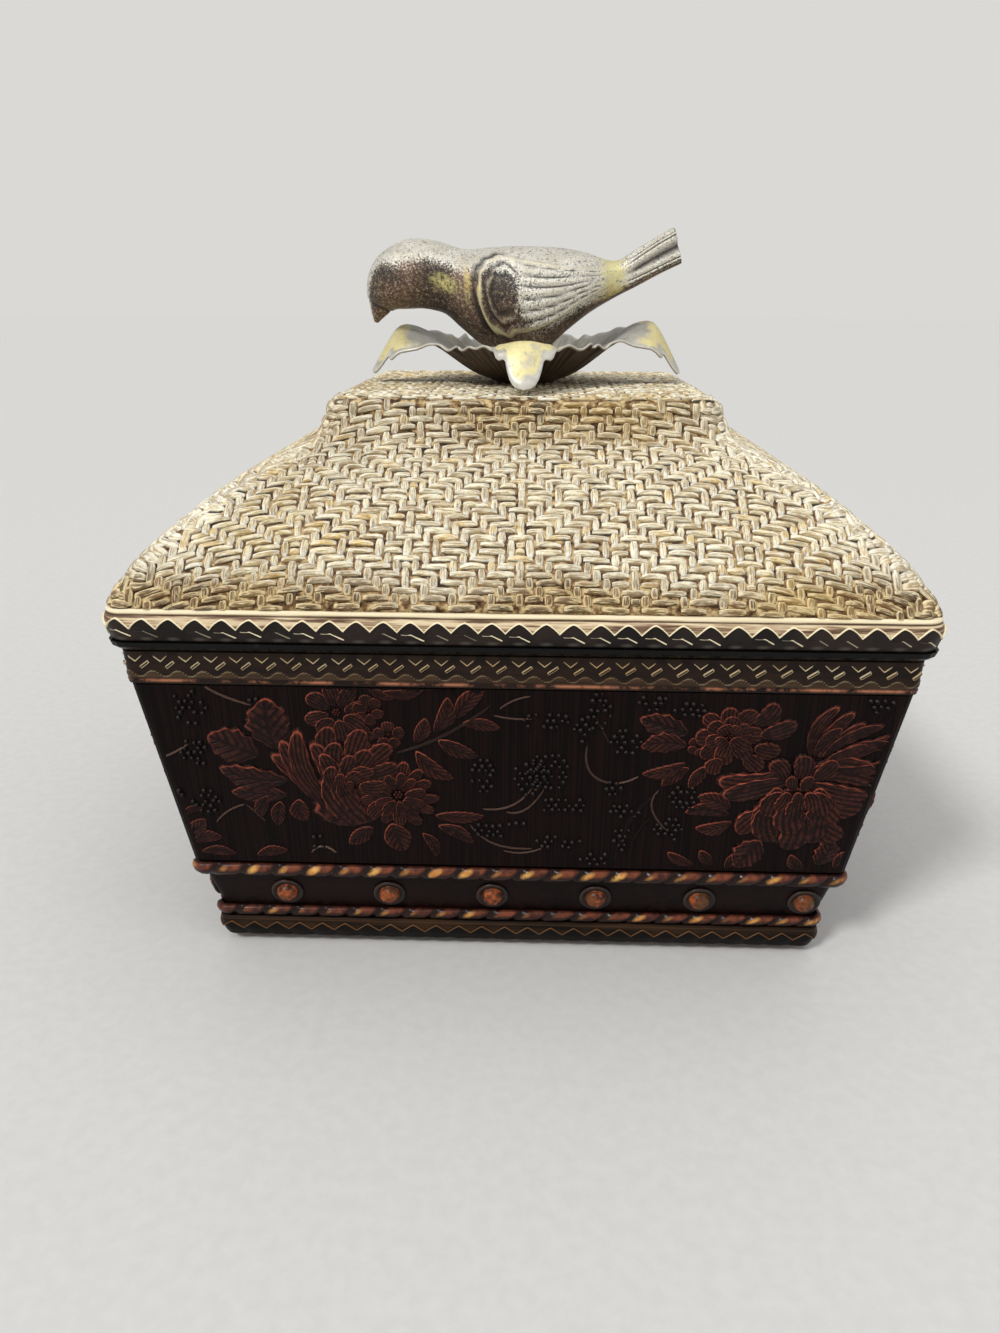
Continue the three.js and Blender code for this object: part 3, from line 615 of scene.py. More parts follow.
def makeWovenTop(stamp, material):
    curve = dome["topRadius"]
    flat = dome["neckTopHalf"] - curve
    topReach = flat + cover["pastFlat"]
    dice = random.Random(cover["seed"] + 9)
    rows = int(topReach / cover["rowPitch"])

    def outside(across, up, limit):
        return math.hypot(max(0, abs(across) - limit), max(0, abs(up) - limit))

    strands = [s for s in weaveStrands(2 * rows, -rows, lambda up: topReach, 0, dice)
               if outside(s[1], s[2], flat - cover["roundFrom"]) < cover["cornerRadius"]]

    def topPoint(strand, spot):
        across, up, rise, rubAndPaintedLight, tint, _, run = pillPoint(strand, spot)
        across, up = (math.copysign(min(abs(v), topReach), v) for v in (across, up))
        over = min(outside(across, up, flat), curve * 0.98)
        fall = curve - math.sqrt(curve ** 2 - over ** 2)
        # A painted shadow of the leaf calyx, browning the middle of the top
        shade = 0.2 + 0.6 * bump(math.hypot(across, up), cover["topShade"])
        z = dome["top"] - fall + strandLevel(rise, 0.6)
        return Vector((across, up, z)), rubAndPaintedLight, tint, shade, over, run

    bm = stampAll(bmesh.new(), stamp, strands, topPoint, wovenMarks)
    finishPiece(bm, "woven_top", "lid", material, ["woven_cover"])


# A thin closed skin that shows between the strands
def makeWovenGround():
    def groundPoint(_, spot):
        half, z, radius, out, lift = domeAt((spot.y + 0.5) * domeEdgeLength)
        x, y = onSquare(4 * spot.x, half, radius, cover["bed"] * out)
        return [(x, y, z + cover["bed"] * lift)]

    bm = gridOf(*cover["groundGrid"])
    shapeVerts(bm, (), groundPoint)
    welded(bm)
    topRim = [edge for edge in bm.edges if edge.is_boundary and edge.verts[0].co.z > dome["top"] - 3]
    bmesh.ops.edgeloop_fill(bm, edges=topRim)
    bmesh.ops.recalc_face_normals(bm, faces=bm.faces)
    bmesh.ops.solidify(bm, geom=bm.faces, thickness=cover["groundThickness"])
    finishPiece(bm, "woven_ground", "lid", coverGroundMaterial(), ["woven_cover"])


pillStamp, strawFinish = stampGrid(6, 6), weaveMaterial()
makeWovenSides(pillStamp, strawFinish)
makeWovenTop(pillStamp, strawFinish)
makeWovenGround()
print("woven cover ready")


# Square bands with an ornament that repeats. Each has its levels from the bottom up and its half widths there
def repeatTurns(repeats):
    return [(i + 0.5) / repeats - 0.5 for i in range(4 * repeats)]


def archShare(phase, sharpness=1.5):
    return 1 - min(1, abs(2 * phase)) ** sharpness


def onBand(s, turn, phase, z, rise):
    half = tableAt(s["levels"], s["halves"], z)
    return (*onSquare(turn + phase / s["repeats"], half, s["radius"], rise), z)


# The face row by row from the bottom, then two rows of the hidden back
def bandSweep(s, face, marks):
    rows, bottom, top = s["rows"], s["levels"][0], s["levels"][-1]

    def section(turn, row):
        if row in (rows + 1, rows + 2):
            z = top if row == rows + 1 else bottom
            return (*onSquare(turn, s["back"], s["radius"] - 1), z), 0.3, *[0] * (len(marks) - 1)
        z = between(bottom, top, (row % (rows + 3)) / rows)
        out, *values = face(((turn + 0.5) * s["repeats"]) % 1 - 0.5, z)
        return onBand(s, turn, 0, z, out), *values

    return ringSweep(4 * s["repeats"] * s["columnsPerRepeat"], rows + 3, section, marks)


# A raised line that runs along a band, as its width, rise, sunk edge and how pale that edge is
def stampLine(bm, s, lineAt, marks):
    width, rise, sink, pale = s["line"]

    def linePoint(turn, spot):
        isTop = abs(spot.y) < 0.3
        z = lineAt(spot.x) + spot.y * width
        return onBand(s, turn, spot.x, z, rise if isTop else sink), 1 if isTop else pale, 0

    stampAll(bm, stampGrid(s["lineColumns"], 3), repeatTurns(s["repeats"]), linePoint, marks)


# Rim strip of the lid: a plain edge, a scalloped line and half moons under it
rimStrip = {
    "levels": [121, 126.8, 131.2], "halves": [125.6, 126.5, 125.4], "back": 124.3, "radius": 7,
    "repeats": 31, "columnsPerRepeat": 10, "rows": 24, "valley": 125.4, "crest": 128.5,
    "line": (0.7, 0.5, -0.25, 0.6), "lineColumns": 12,
    "edge": 130.0, "groove": 129.5, "ridge": 130.5, "lobe": 121.9, "dash": 124.6, "seed": 5,
}


def rimStripMaterial():
    finish = Finish("rimStripPaint", roughness=0.5, Specular_IOR_Level=0.2)
    rubAndPaintedLight, zone = finish.marks("rubAndPaintedLight", "zone")
    patch = finish.noise(60, 4)
    streak = finish.noise(900, 3, 0.6, (0.05, 0.05, 1))
    upper = finish.ramp(streak, (0.4, (226, 206, 170)), (0.49, (176, 150, 120)), (0.58, (98, 74, 58)))
    upper = finish.blend(patch, 0.52, 0.68, upper, (150, 118, 100), 0.5)
    lower = finish.blend(patch, 0.4, 0.6, (40, 30, 26), (22, 17, 15))
    colour = finish.blend(zone, 0.3, 0.7, upper, lower)
    # The lobes at the foot of the half moons get a painted grey glint
    colour = finish.blend(zone, 1.15, 1.8, colour, (84, 78, 70), 0.6)
    # Where the rub mark is high: pale lines and a painted highlight along the top ridge and the dashes; where
    # it is low: painted shade in the groove
    colour = finish.blend(rubAndPaintedLight, 0.5, 0.85, colour, finish.mix(streak, (255, 248, 220), (228, 206, 158)))
    colour = finish.blend(rubAndPaintedLight, 0.08, 0.4, (78, 56, 40), colour)
    return finish.dress(colour, (patch, 0.4, 0.6), streak, 0.2, 0.6)


def makeRimStrip():
    s, marks = rimStrip, ("rubAndPaintedLight", "zone")

    def scallopAt(phase):
        return between(s["valley"], s["crest"], archShare(phase))

    def face(phase, z):
        under = smooth(0.25, -0.25, z - scallopAt(phase)) if z < s["edge"] else 0
        lobe = bump(phase - 0.02, 0.24) * bump(z - s["lobe"], 0.6) * under
        moon = under * (0.35 * archShare(phase, 2) * smooth(s["levels"][0], s["valley"], z) - 0.35)
        cut = bump(z - s["groove"], 0.25)
        out = moon + 0.25 * lobe + 0.28 * bump(z - s["ridge"], 0.7) - 0.4 * cut
        # The rub mark: a painted highlight along the ridge, painted shade in the groove
        rubAndPaintedLight = 0.45 + 0.5 * bump(z - s["ridge"] - 0.1, 0.75) - 0.5 * cut
        return out, rubAndPaintedLight, under * (1 + lobe)

    bm = bandSweep(s, face, marks)
    stampLine(bm, s, scallopAt, marks)
    dice = random.Random(s["seed"])

    def dashPoint(dash, spot):
        turn, length, strength, lean = dash
        t = spot.x + 0.5  # a thin level line that turns into a slanted dash
        isThin = t < 0.4
        slant = 0 if isThin else length * (t - 0.4) / 0.6
        phase = -0.42 * (1 - t / 0.4) if isThin else 0.5 * slant
        fall = 0.15 * math.sin(8 * min(t, 0.4)) + 2.3 * slant
        z = s["dash"] + lean - fall + spot.y * (0.4 if isThin else 0.65)
        rise = 0.14 if abs(spot.y) < 0.3 and abs(spot.x) < 0.47 else -0.5
        return onBand(s, turn, phase, z, rise), strength * (0.72 if isThin else 1), 1

    # The dashes are thin raised lines, painted pale as highlights
    dashes = [(turn, dice.uniform(0.75, 1), dice.uniform(0.55, 0.95), dice.uniform(-0.2, 0.2))
              for turn in repeatTurns(s["repeats"]) if dice.random() < 0.93]
    stampAll(bm, stampGrid(10, 3), dashes, dashPoint, marks)
    finishPiece(bm, "rim_strip_relief", "lid", rimStripMaterial(), ["lid_rim_strip"])


makeRimStrip()
print("rim strip ready")


# Band under the rim of the body: chevrons, slanted dashes and low hills
rimBand = {
    "levels": [106.1, 116.9], "halves": [122.1, 122.7], "back": 120.4, "radius": 3.6, "repeats": 31,
    "columnsPerRepeat": 10, "rows": 26, "chevronTop": 115.6, "chevronFoot": 113.6, "hillTop": 110.6,
    "hillFoot": 108.7, "copperLine": 107.2, "groove": 108, "dash": 112.35, "repeatLength": 7.9, "seed": 8,
}


def rimBandMaterial():
    finish = Finish("rimBandPaint", roughness=0.45, Specular_IOR_Level=0.14)
    rubAndPaintedLight, zone, copper = finish.marks("rubAndPaintedLight", "zone", "copper")
    patch = finish.noise(30, 4)
    streak = finish.noise(90, 4, 0.6, (0.3, 0.3, 3))
    ground = finish.blend(streak, 0.38, 0.62, (24, 15, 12), (42, 27, 19))
    olive = finish.blend(streak, 0.35, 0.65, (70, 52, 35), (43, 30, 22))
    colour = finish.mix(zone, ground, olive)
    pale = finish.blend(patch, 0.4, 0.65, (198, 184, 148), (168, 140, 98))
    colour = finish.blend(rubAndPaintedLight, 0.5, 0.95, colour, pale)
    broken = finish.times(copper, finish.level(finish.noise(110, 4, 0.7), 0.42, 0.58))
    colour = finish.mix(broken, colour, (176, 116, 86))
    return finish.dress(colour, (streak, 0.3, 0.5), streak, 0.15, 0.5)


def makeRimBand():
    s, marks = rimBand, ("rubAndPaintedLight", "zone", "copper")

    def chevronAt(phase):
        return between(s["chevronFoot"], s["chevronTop"], abs(phase) / 0.3)

    def hillAt(phase):
        return between(s["hillFoot"], s["hillTop"], math.cos(math.pi * (phase + 0.4)) ** 2)

    def face(phase, z):
        tooth = smooth(-0.3, 0.3, z - chevronAt(phase)) if abs(phase) < 0.3 else 0
        hill = smooth(0.3, -0.3, z - hillAt(phase)) * smooth(-0.1, 0.3, z - s["groove"])
        copper = bump(z - s["copperLine"], 0.42)
        out = 0.12 * tooth + 0.25 * hill + 0.2 * copper - 0.2 * bump(z - s["groove"], 0.3) - 0.2
        crest = 0.36 * bump(z - hillAt(phase) + 0.2, 0.4)
        return out, 0.3 + crest, max(0.3 * tooth, hill), copper

    def chevronPoint(turn, spot):
        phase = spot.x * 0.6
        rise = 0.28 if abs(spot.y) < 0.3 and abs(spot.x) < 0.45 else -0.4
        point = onBand(s, turn, phase, chevronAt(phase) + spot.y * 0.55, rise)
        return point, 1 - 0.22 * abs(2 * spot.x), 0.8, 0

    def dashPoint(dash, spot):
        turn, length, lean = dash
        along, across = spot.x * length, spot.y * 1.1
        z = s["dash"] + along * 0.58 + across * 0.78 + lean
        phase = 0.33 + (along * 0.81 - across * 0.6) / s["repeatLength"]
        toEdge = max(abs(spot.x), abs(spot.y))
        rise = 0.42 if toEdge > 0.4 or abs(spot.y) > 0.2 else 0.28
        rubAndPaintedLight = 0.5 if abs(spot.y) < 0.2 and abs(spot.x) < 0.4 else 1
        return onBand(s, turn, phase, z, -0.35 if toEdge > 0.45 else rise), rubAndPaintedLight, 0.6, 0

    bm = bandSweep(s, face, marks)
    stampAll(bm, stampGrid(8, 3), repeatTurns(s["repeats"]), chevronPoint, marks)
    dice = random.Random(s["seed"])
    dashes = [(turn, dice.uniform(3.7, 4.3), dice.uniform(-0.15, 0.15)) for turn in repeatTurns(s["repeats"])]
    stampAll(bm, stampGrid(6, 6), dashes, dashPoint, marks)
    finishPiece(bm, "rim_band_relief", "base", rimBandMaterial(), ["rim_band"])


makeRimBand()
print("rim band ready")


# Base moulding: a streaked upper band, a zigzag line and dark lumps under it
baseMoulding = {
    "levels": [3.5, 7.35, 11.2], "halves": [105.6, 106.6, 106.4], "back": 103.7, "radius": 4.3,
    "repeats": 26, "columnsPerRepeat": 10, "rows": 18, "peak": 9.3, "valley": 6.6, "ridge": 10.4,
    "line": (0.6, 0.25, -0.3, 0.5), "lineColumns": 10,
}


def baseMouldingMaterial():
    finish = Finish("baseMouldingPaint", roughness=0.45, Specular_IOR_Level=0.12)
    rubAndPaintedLight, zone = finish.marks("rubAndPaintedLight", "zone")
    patch = finish.noise(45, 4)
    streak = finish.noise(60, 4, 0.6, (0.4, 0.4, 5))
    upper = finish.blend(streak, 0.4, 0.62, (50, 33, 19), (14, 9, 7))
    lower = finish.blend(patch, 0.4, 0.6, (18, 14, 11), (11, 8, 7))
    colour = finish.mix(zone, upper, lower)
    colour = finish.blend(rubAndPaintedLight, 0.5, 0.95, colour, finish.mix(patch, (124, 86, 50), (62, 42, 27)))
    return finish.dress(colour, (patch, 0.36, 0.56), streak, 0.15, 0.5)


def makeBaseMoulding():
    s, marks = baseMoulding, ("rubAndPaintedLight", "zone")

    def zigzagAt(phase):
        return between(s["valley"], s["peak"], archShare(phase, 1.15))

    def face(phase, z):
        under = smooth(0.25, -0.25, z - zigzagAt(phase))
        lump = under * (0.4 * archShare(phase, 2) * smooth(8.4, 5.6, z) - 0.35)
        out = lump + 0.1 * bump(z - s["ridge"], 0.6) - 0.1
        return out, 0.3 + 0.35 * bump(z - s["ridge"], 0.5), under

    bm = bandSweep(s, face, marks)
    stampLine(bm, s, zigzagAt, marks)
    material = baseMouldingMaterial()
    finishPiece(bm, "base_moulding_relief", "base", material, ["base_moulding"])


makeBaseMoulding()
print("base moulding ready")


# Twisted ropes round the foot of the body
ropes = {
    "rope_bead_lower": {"centre": 13.8, "height": 4.6, "depth": 2.5, "gold": 0.6},
    "rope_bead_upper": {"centre": 33.4, "height": 5.6, "depth": 2.7, "gold": 1.0},
}
ropeTwist = {"repeats": 21, "columnsPerRepeat": 12, "rows": 14, "slant": 0.24, "groove": 0.42, "radius": 2.2}
frieze = {"bottom": 11.5, "top": 36.2, "footHalf": 103.9, "topHalf": 110.2}


def friezeHalfAt(z):
    share = (z - frieze["bottom"]) / (frieze["top"] - frieze["bottom"])
    return between(frieze["footHalf"], frieze["topHalf"], share)


def ropeMaterial():
    finish = Finish("ropeGlazeAndPaintedSheen", roughness=0.38, Specular_IOR_Level=0.2)
    rubAndPaintedLight, gold = finish.marks("rubAndPaintedLight", "gold")
    patch = finish.noise(70, 4)
    grain = finish.noise(300, 4, 0.6)
    # Dark glaze where the rub mark is low, which paints shade into the grooves and underneath; copper where
    # it is high, a painted sheen on the upper side of each lobe
    ground = finish.blend(patch, 0.4, 0.62, (38, 17, 13), (25, 12, 11))
    copper = finish.blend(grain, 0.4, 0.62, (120, 64, 42), (64, 33, 28))
    colour = finish.blend(rubAndPaintedLight, 0.35, 0.95, ground, copper)
    # Gold dabs on the upper side of each lobe: partly gilt, partly painted highlight
    bright = finish.blend(grain, 0.36, 0.6, (232, 182, 100), (184, 122, 62))
    share = finish.times(gold, finish.level(grain, 0.34, 0.52, 0.45, 1.1))
    colour = finish.blend(share, 0.1, 0.55, colour, bright)
    return finish.dress(colour, (grain, 0.22, 0.42), grain, 0.12, 0.5)


def makeRopes():
    finish = ropeMaterial()
    t = ropeTwist
    for name, s in ropes.items():
        dice = random.Random(len(name) + int(s["centre"]))
        strengths = [dice.uniform(0.2, 1.0) * s["gold"] for _ in range(4 * t["repeats"] + 2)]

        def section(turn, row):
            angle = (row % (t["rows"] + 1)) / t["rows"] * math.pi - math.pi / 2
            lobe = (turn + 0.5) * t["repeats"] + 0.5 - t["slant"] * math.sin(angle)
            phase = lobe % 1
            near = min(phase, 1 - phase)
            swell = 1 - t["groove"] * bump(near, 0.1) + 0.06 * math.sin(math.pi * phase)
            z = s["centre"] + math.sin(angle) * s["height"] / 2 * (0.88 + 0.12 * swell)
            out = math.cos(angle) ** 0.8 * swell * s["depth"] if abs(angle) < 1.57 else 0
            # The gold dabs and the rub mark's painted sheen sit on the upper side of each lobe, away from the
            # grooves
            gold = bump(phase - 0.26, 0.15) * bump(angle - 0.35, 0.62) * strengths[int(lobe) % len(strengths)]
            rubAndPaintedLight = smooth(0.05, 0.3, near) * bump(angle - 0.7, 0.8)
            return (*onSquare(turn, friezeHalfAt(z) + 0.3, t["radius"], out), z), rubAndPaintedLight, gold

        columns = 4 * t["repeats"] * t["columnsPerRepeat"]
        bm = ringSweep(columns, t["rows"] + 1, section, ("rubAndPaintedLight", "gold"))
        finishPiece(bm, name + "_twist", "base", finish, [name])


makeRopes()
print("ropes ready")


# Studs: a rough domed button in a turned ring
studs = {
    "places": [-80.5, -44.5, -8.5, 27.5, 63.5, 99.5], "height": 22.7, "steps": 28,
    "outline": [(5.7, -0.2), (5.75, 0.45), (5.45, 0.9), (4.9, 1.05), (4.3, 0.85), (3.75, 0.4), (3.55, 0.5),
                (3.5, 1.0), (3.3, 1.7), (2.8, 2.35), (2.05, 2.85), (1.1, 3.15), (0, 3.25)],
    "domeRadius": 3.6, "roughness": 0.24, "ringRimRadius": 5.35,
}


def studMaterial():
    finish = Finish("studPaint", roughness=0.38, Specular_IOR_Level=0.3)
    dome, rubAndPaintedLight = finish.marks("dome", "rubAndPaintedLight")
    grain = finish.noise(420, 4, 0.7)
    patch = finish.noise(110, 3)
    orange = finish.ramp(grain, (0.38, (42, 19, 11)), (0.48, (106, 50, 24)), (0.66, (176, 90, 40)))
    orange = finish.blend(patch, 0.48, 0.66, orange, (82, 52, 24))
    ring = finish.blend(patch, 0.4, 0.6, (28, 17, 14), (18, 11, 10))
    # The ring's rim: pale wear and a painted highlight, from the rub mark
    ring = finish.blend(rubAndPaintedLight, 0.3, 0.9, ring, (60, 42, 30))
    return finish.dress(finish.mix(dome, ring, orange), (grain, 0.3, 0.5), grain, 0.3, 0.7)


def makeStuds():
    bm = spin(bmesh.new(), studs["outline"], studs["steps"])
    bmesh.ops.holes_fill(bm, edges=[edge for edge in bm.edges if edge.is_boundary])
    stamp = meshFrom(bm, "stud")
    finish = studMaterial()
    tilt = math.atan2(frieze["topHalf"] - frieze["footHalf"], frieze["top"] - frieze["bottom"])
    for side, name in enumerate(sideNames):
        def studPoint(place, spot):
            radius = math.hypot(spot.x, spot.y)
            isDome = 1 if radius < studs["domeRadius"] else 0
            dents = math.sin(spot.x * 5 + place) * math.sin(spot.y * 6.3 - place)
            out = spot.z + studs["roughness"] * dents * isDome
            # The ring's rim gets a painted highlight, brightest on its upper left
            lit = 0.4 + 0.6 * smooth(-2, 5, spot.y - spot.x)
            rimWearAndPaintedHighlight = bump(radius - studs["ringRimRadius"], 0.4) * lit if spot.z > 0.4 else 0
            up = spot.y * math.cos(tilt) - out * math.sin(tilt)
            back = friezeHalfAt(studs["height"]) + spot.y * math.sin(tilt) + out * math.cos(tilt)
            x, y = quarterTurned(side, place + spot.x, -back)
            return (x, y, studs["height"] + up), isDome, rimWearAndPaintedHighlight

        bm = stampAll(bmesh.new(), stamp, studs["places"], studPoint, ("dome", "rubAndPaintedLight"))
        bmesh.ops.recalc_face_normals(bm, faces=bm.faces)
        names = [f"stud_{name}_{i + 1}" for i in range(len(studs["places"]))]
        finishPiece(bm, "studs_" + name, "base", finish, names)


makeStuds()
print("studs ready")


# Leaf calyx: one thin metal sheet, four leaves with round hanging lobes
calyx = {
    "seat": 187.8, "sheet": 0.8, "floor": 10, "reach": 60, "rise": 18, "bore": 2.3, "ruffle": 1.1,
    "radiusShares": [0, 0.2, 0.52, 0.64, 0.74, 0.8, 0.86, 1],
    "heightShares": [0, 0.22, 0.82, 0.96, 1, 0.96, 0.76, 0.12],
    "bearingShares": [0, 0.05, 0.09, 0.12, 0.14, 0.152, 0.165, 0.24, 0.3, 0.37, 0.58, 1],
    "reachShares": [1, 0.993, 0.975, 0.948, 0.92, 0.9, 0.886, 0.872, 0.8, 0.7, 0.617, 0.583],
    "lifts": [1.1, 1.02, 1, 0.88],  # right, back, left, front
    "columns": 360, "rows": 30, "fold": 0.9, "vein": 0.14, "midrib": 0.3, "lean": 0.5,
    "tipDrop": 1.7, "lobeDrop": 2.6,
}


# Degrees from the nearest leaf's middle, and that leaf's number
def leafOffset(bearing):
    leaf = round(bearing / 90)
    return bearing - 90 * leaf, leaf % 4


def calyxReachAt(bearing):
    offset, _ = leafOffset(bearing)
    return calyx["reach"] * tableAt(calyx["bearingShares"], calyx["reachShares"], min(1, abs(offset) / 45))


def calyxTop(bearing, radius):
    c = calyx
    angle = math.radians(bearing)
    lift = sum(rise * max(0, math.cos(angle - leaf * math.pi / 2)) ** 2
               for leaf, rise in enumerate(c["lifts"]))
    share = max(0, radius - c["floor"]) / (c["reach"] - c["floor"])
    offset, leaf = leafOffset(bearing)
    height = c["rise"] * lift * tableAt(c["radiusShares"], c["heightShares"], min(1, share))
    height += c["ruffle"] * share ** 2 * math.cos(16 * angle)
    halfway = bump(abs(offset) - 45, 16)  # the rim folds between two leaves
    height += c["fold"] * halfway * smooth(0.3, 0.5, share) * math.sin(offset * 0.42 + leaf)
    crease = math.cos(math.radians(offset) * 36 + leaf) * smooth(0.05, 0.3, share) * smooth(0.75, 0.5, share)
    midrib = bump(offset, 2.2) * smooth(0.1, 0.4, share) * smooth(0.85, 0.6, share)
    height += c["vein"] * crease - c["midrib"] * midrib
    lean = (-1, 0, 1, 0)[leaf] * c["lean"]  # the side leaves turn their faces forward
    height -= lean * radius * math.sin(math.radians(offset)) * smooth(0.42, 0.9, share)
    height -= c["tipDrop"] * smooth(0.8, 1, share) * (leaf == 3)
    reach = calyxReachAt(bearing)
    lobeEnd = bump(abs(offset) - 17, 7) * smooth(reach - 10, reach, radius) * smooth(36, 44, radius)
    height -= c["lobeDrop"] * lobeEnd
    return Vector((radius * math.cos(angle), radius * math.sin(angle), c["seat"] + c["sheet"] + height))


def calyxMaterial():
    finish = Finish("leafMetalPatina", roughness=0.42, metallic=0.25)
    rim, gold, under, vein = finish.marks("rim", "gold", "under", "vein")
    patch = finish.noise(55, 4)
    grain = finish.noise(480, 4, 0.7)
    silver = finish.blend(patch, 0.35, 0.65, (206, 203, 192), (156, 152, 140))
    share = finish.plus(gold, finish.level(finish.noise(160, 3), 0.3, 0.7, -0.55, 0.45))
    colour = finish.blend(share, 0.3, 0.75, silver, (230, 217, 158))
    colour = finish.blend(vein, 0.55, 0.95, colour, (150, 134, 98), 0.5)
    colour = finish.blend(rim, 0.2, 0.9, colour, (224, 221, 210))
    colour = finish.blend(grain, 0.5, 0.72, colour, (132, 122, 102), 0.35)
    below = finish.blend(vein, 0.3, 0.9, (46, 36, 28), (88, 70, 52))
    colour = finish.mix(under, colour, finish.blend(rim, 0.5, 0.95, below, (170, 160, 140)))
    return finish.dress(colour, (grain, 0.32, 0.55), grain, 0.12, 0.5)


def makeCalyx():
    c = calyx
    rows = c["rows"]

    def section(turn, row):
        bearing = turn * 90 + 180
        row = row % (2 * rows + 2)
        isUnder = row > rows
        share = (2 * rows + 1 - row if isUnder else row) / rows
        reach = calyxReachAt(bearing)
        radius = between(c["bore"], reach, share ** 0.85)
        point = calyxTop(bearing, radius)
        offset, leaf = leafOffset(bearing)
        if isUnder:
            along = calyxTop(bearing, radius + 0.05) - calyxTop(bearing, radius - 0.05)
            around = calyxTop(bearing + 0.1, radius) - calyxTop(bearing - 0.1, radius)
            point -= along.cross(around).normalized() * c["sheet"]
        toRim = min(reach - radius, 12) + 0.02 * abs(offset)
        start = 36 if leaf == 3 else 42
        gold = smooth(start, start + 8, radius) * smooth(1.2, 3.2, toRim) * smooth(32, 22, abs(offset))
        vein = 0.5 + 0.5 * math.cos(math.radians(offset) * 72 + leaf)
        vein *= 1 if isUnder else smooth(40, 30, radius)
        return point, bump(toRim, 1.7), gold, 1 if isUnder else 0, vein

    marks = ("rim", "gold", "under", "vein")
    bm = ringSweep(c["columns"], 2 * rows + 2, section, marks)
    finishPiece(bm, "leaf_calyx_sheet", "lid", calyxMaterial(), ["leaf_calyx"])


makeCalyx()
print("calyx ready")


# Bird: sections along a curved body, with wings, feathers and a ribbed tail raised on it
bird = {
    "left": -61, "length": 120.4, "bottom": 197.7, "height": 45.6, "halfWidth": 19.5,
    "sections": [  # upper x and z, lower x and z, half width, as shares
        (0.018, 0.268, 0.034, 0.26, 0.02), (0.011, 0.34, 0.044, 0.285, 0.1),
        (0.005, 0.421, 0.068, 0.333, 0.22), (0, 0.504, 0.092, 0.364, 0.42),
        (0.01, 0.658, 0.12, 0.368, 0.57), (0.05, 0.803, 0.15, 0.371, 0.64),
        (0.133, 0.912, 0.175, 0.373, 0.67), (0.224, 0.899, 0.212, 0.36, 0.68),
        (0.307, 0.838, 0.253, 0.325, 0.74), (0.399, 0.853, 0.303, 0.215, 0.88),
        (0.482, 0.86, 0.374, 0.077, 0.98), (0.565, 0.857, 0.474, 0, 1), (0.64, 0.84, 0.565, 0.05, 0.93),
        (0.706, 0.803, 0.64, 0.211, 0.76), (0.756, 0.759, 0.71, 0.351, 0.58),
        (0.793, 0.757, 0.785, 0.465, 0.46), (0.839, 0.818, 0.86, 0.557, 0.45),
        (0.906, 0.912, 0.93, 0.645, 0.49), (0.971, 1, 1, 0.726, 0.51),
    ],
    "stations": 210, "sides": 144, "capRows": 5, "tailBulge": 0.4, "tailTrim": 2.2,
    "shoulder": (-8, 4), "shoulderReach": (9.6, 44), "rump": 31, "wingRise": 1.25, "feathers": 6.5,
    "bossOutline": [(0, 188.9), (8, 188.9), (7.7, 190.5), (7.4, 194), (8.3, 198.5), (10.5, 202), (0, 204)],
    "bossSteps": 48, "bossRub": 0.4,
}


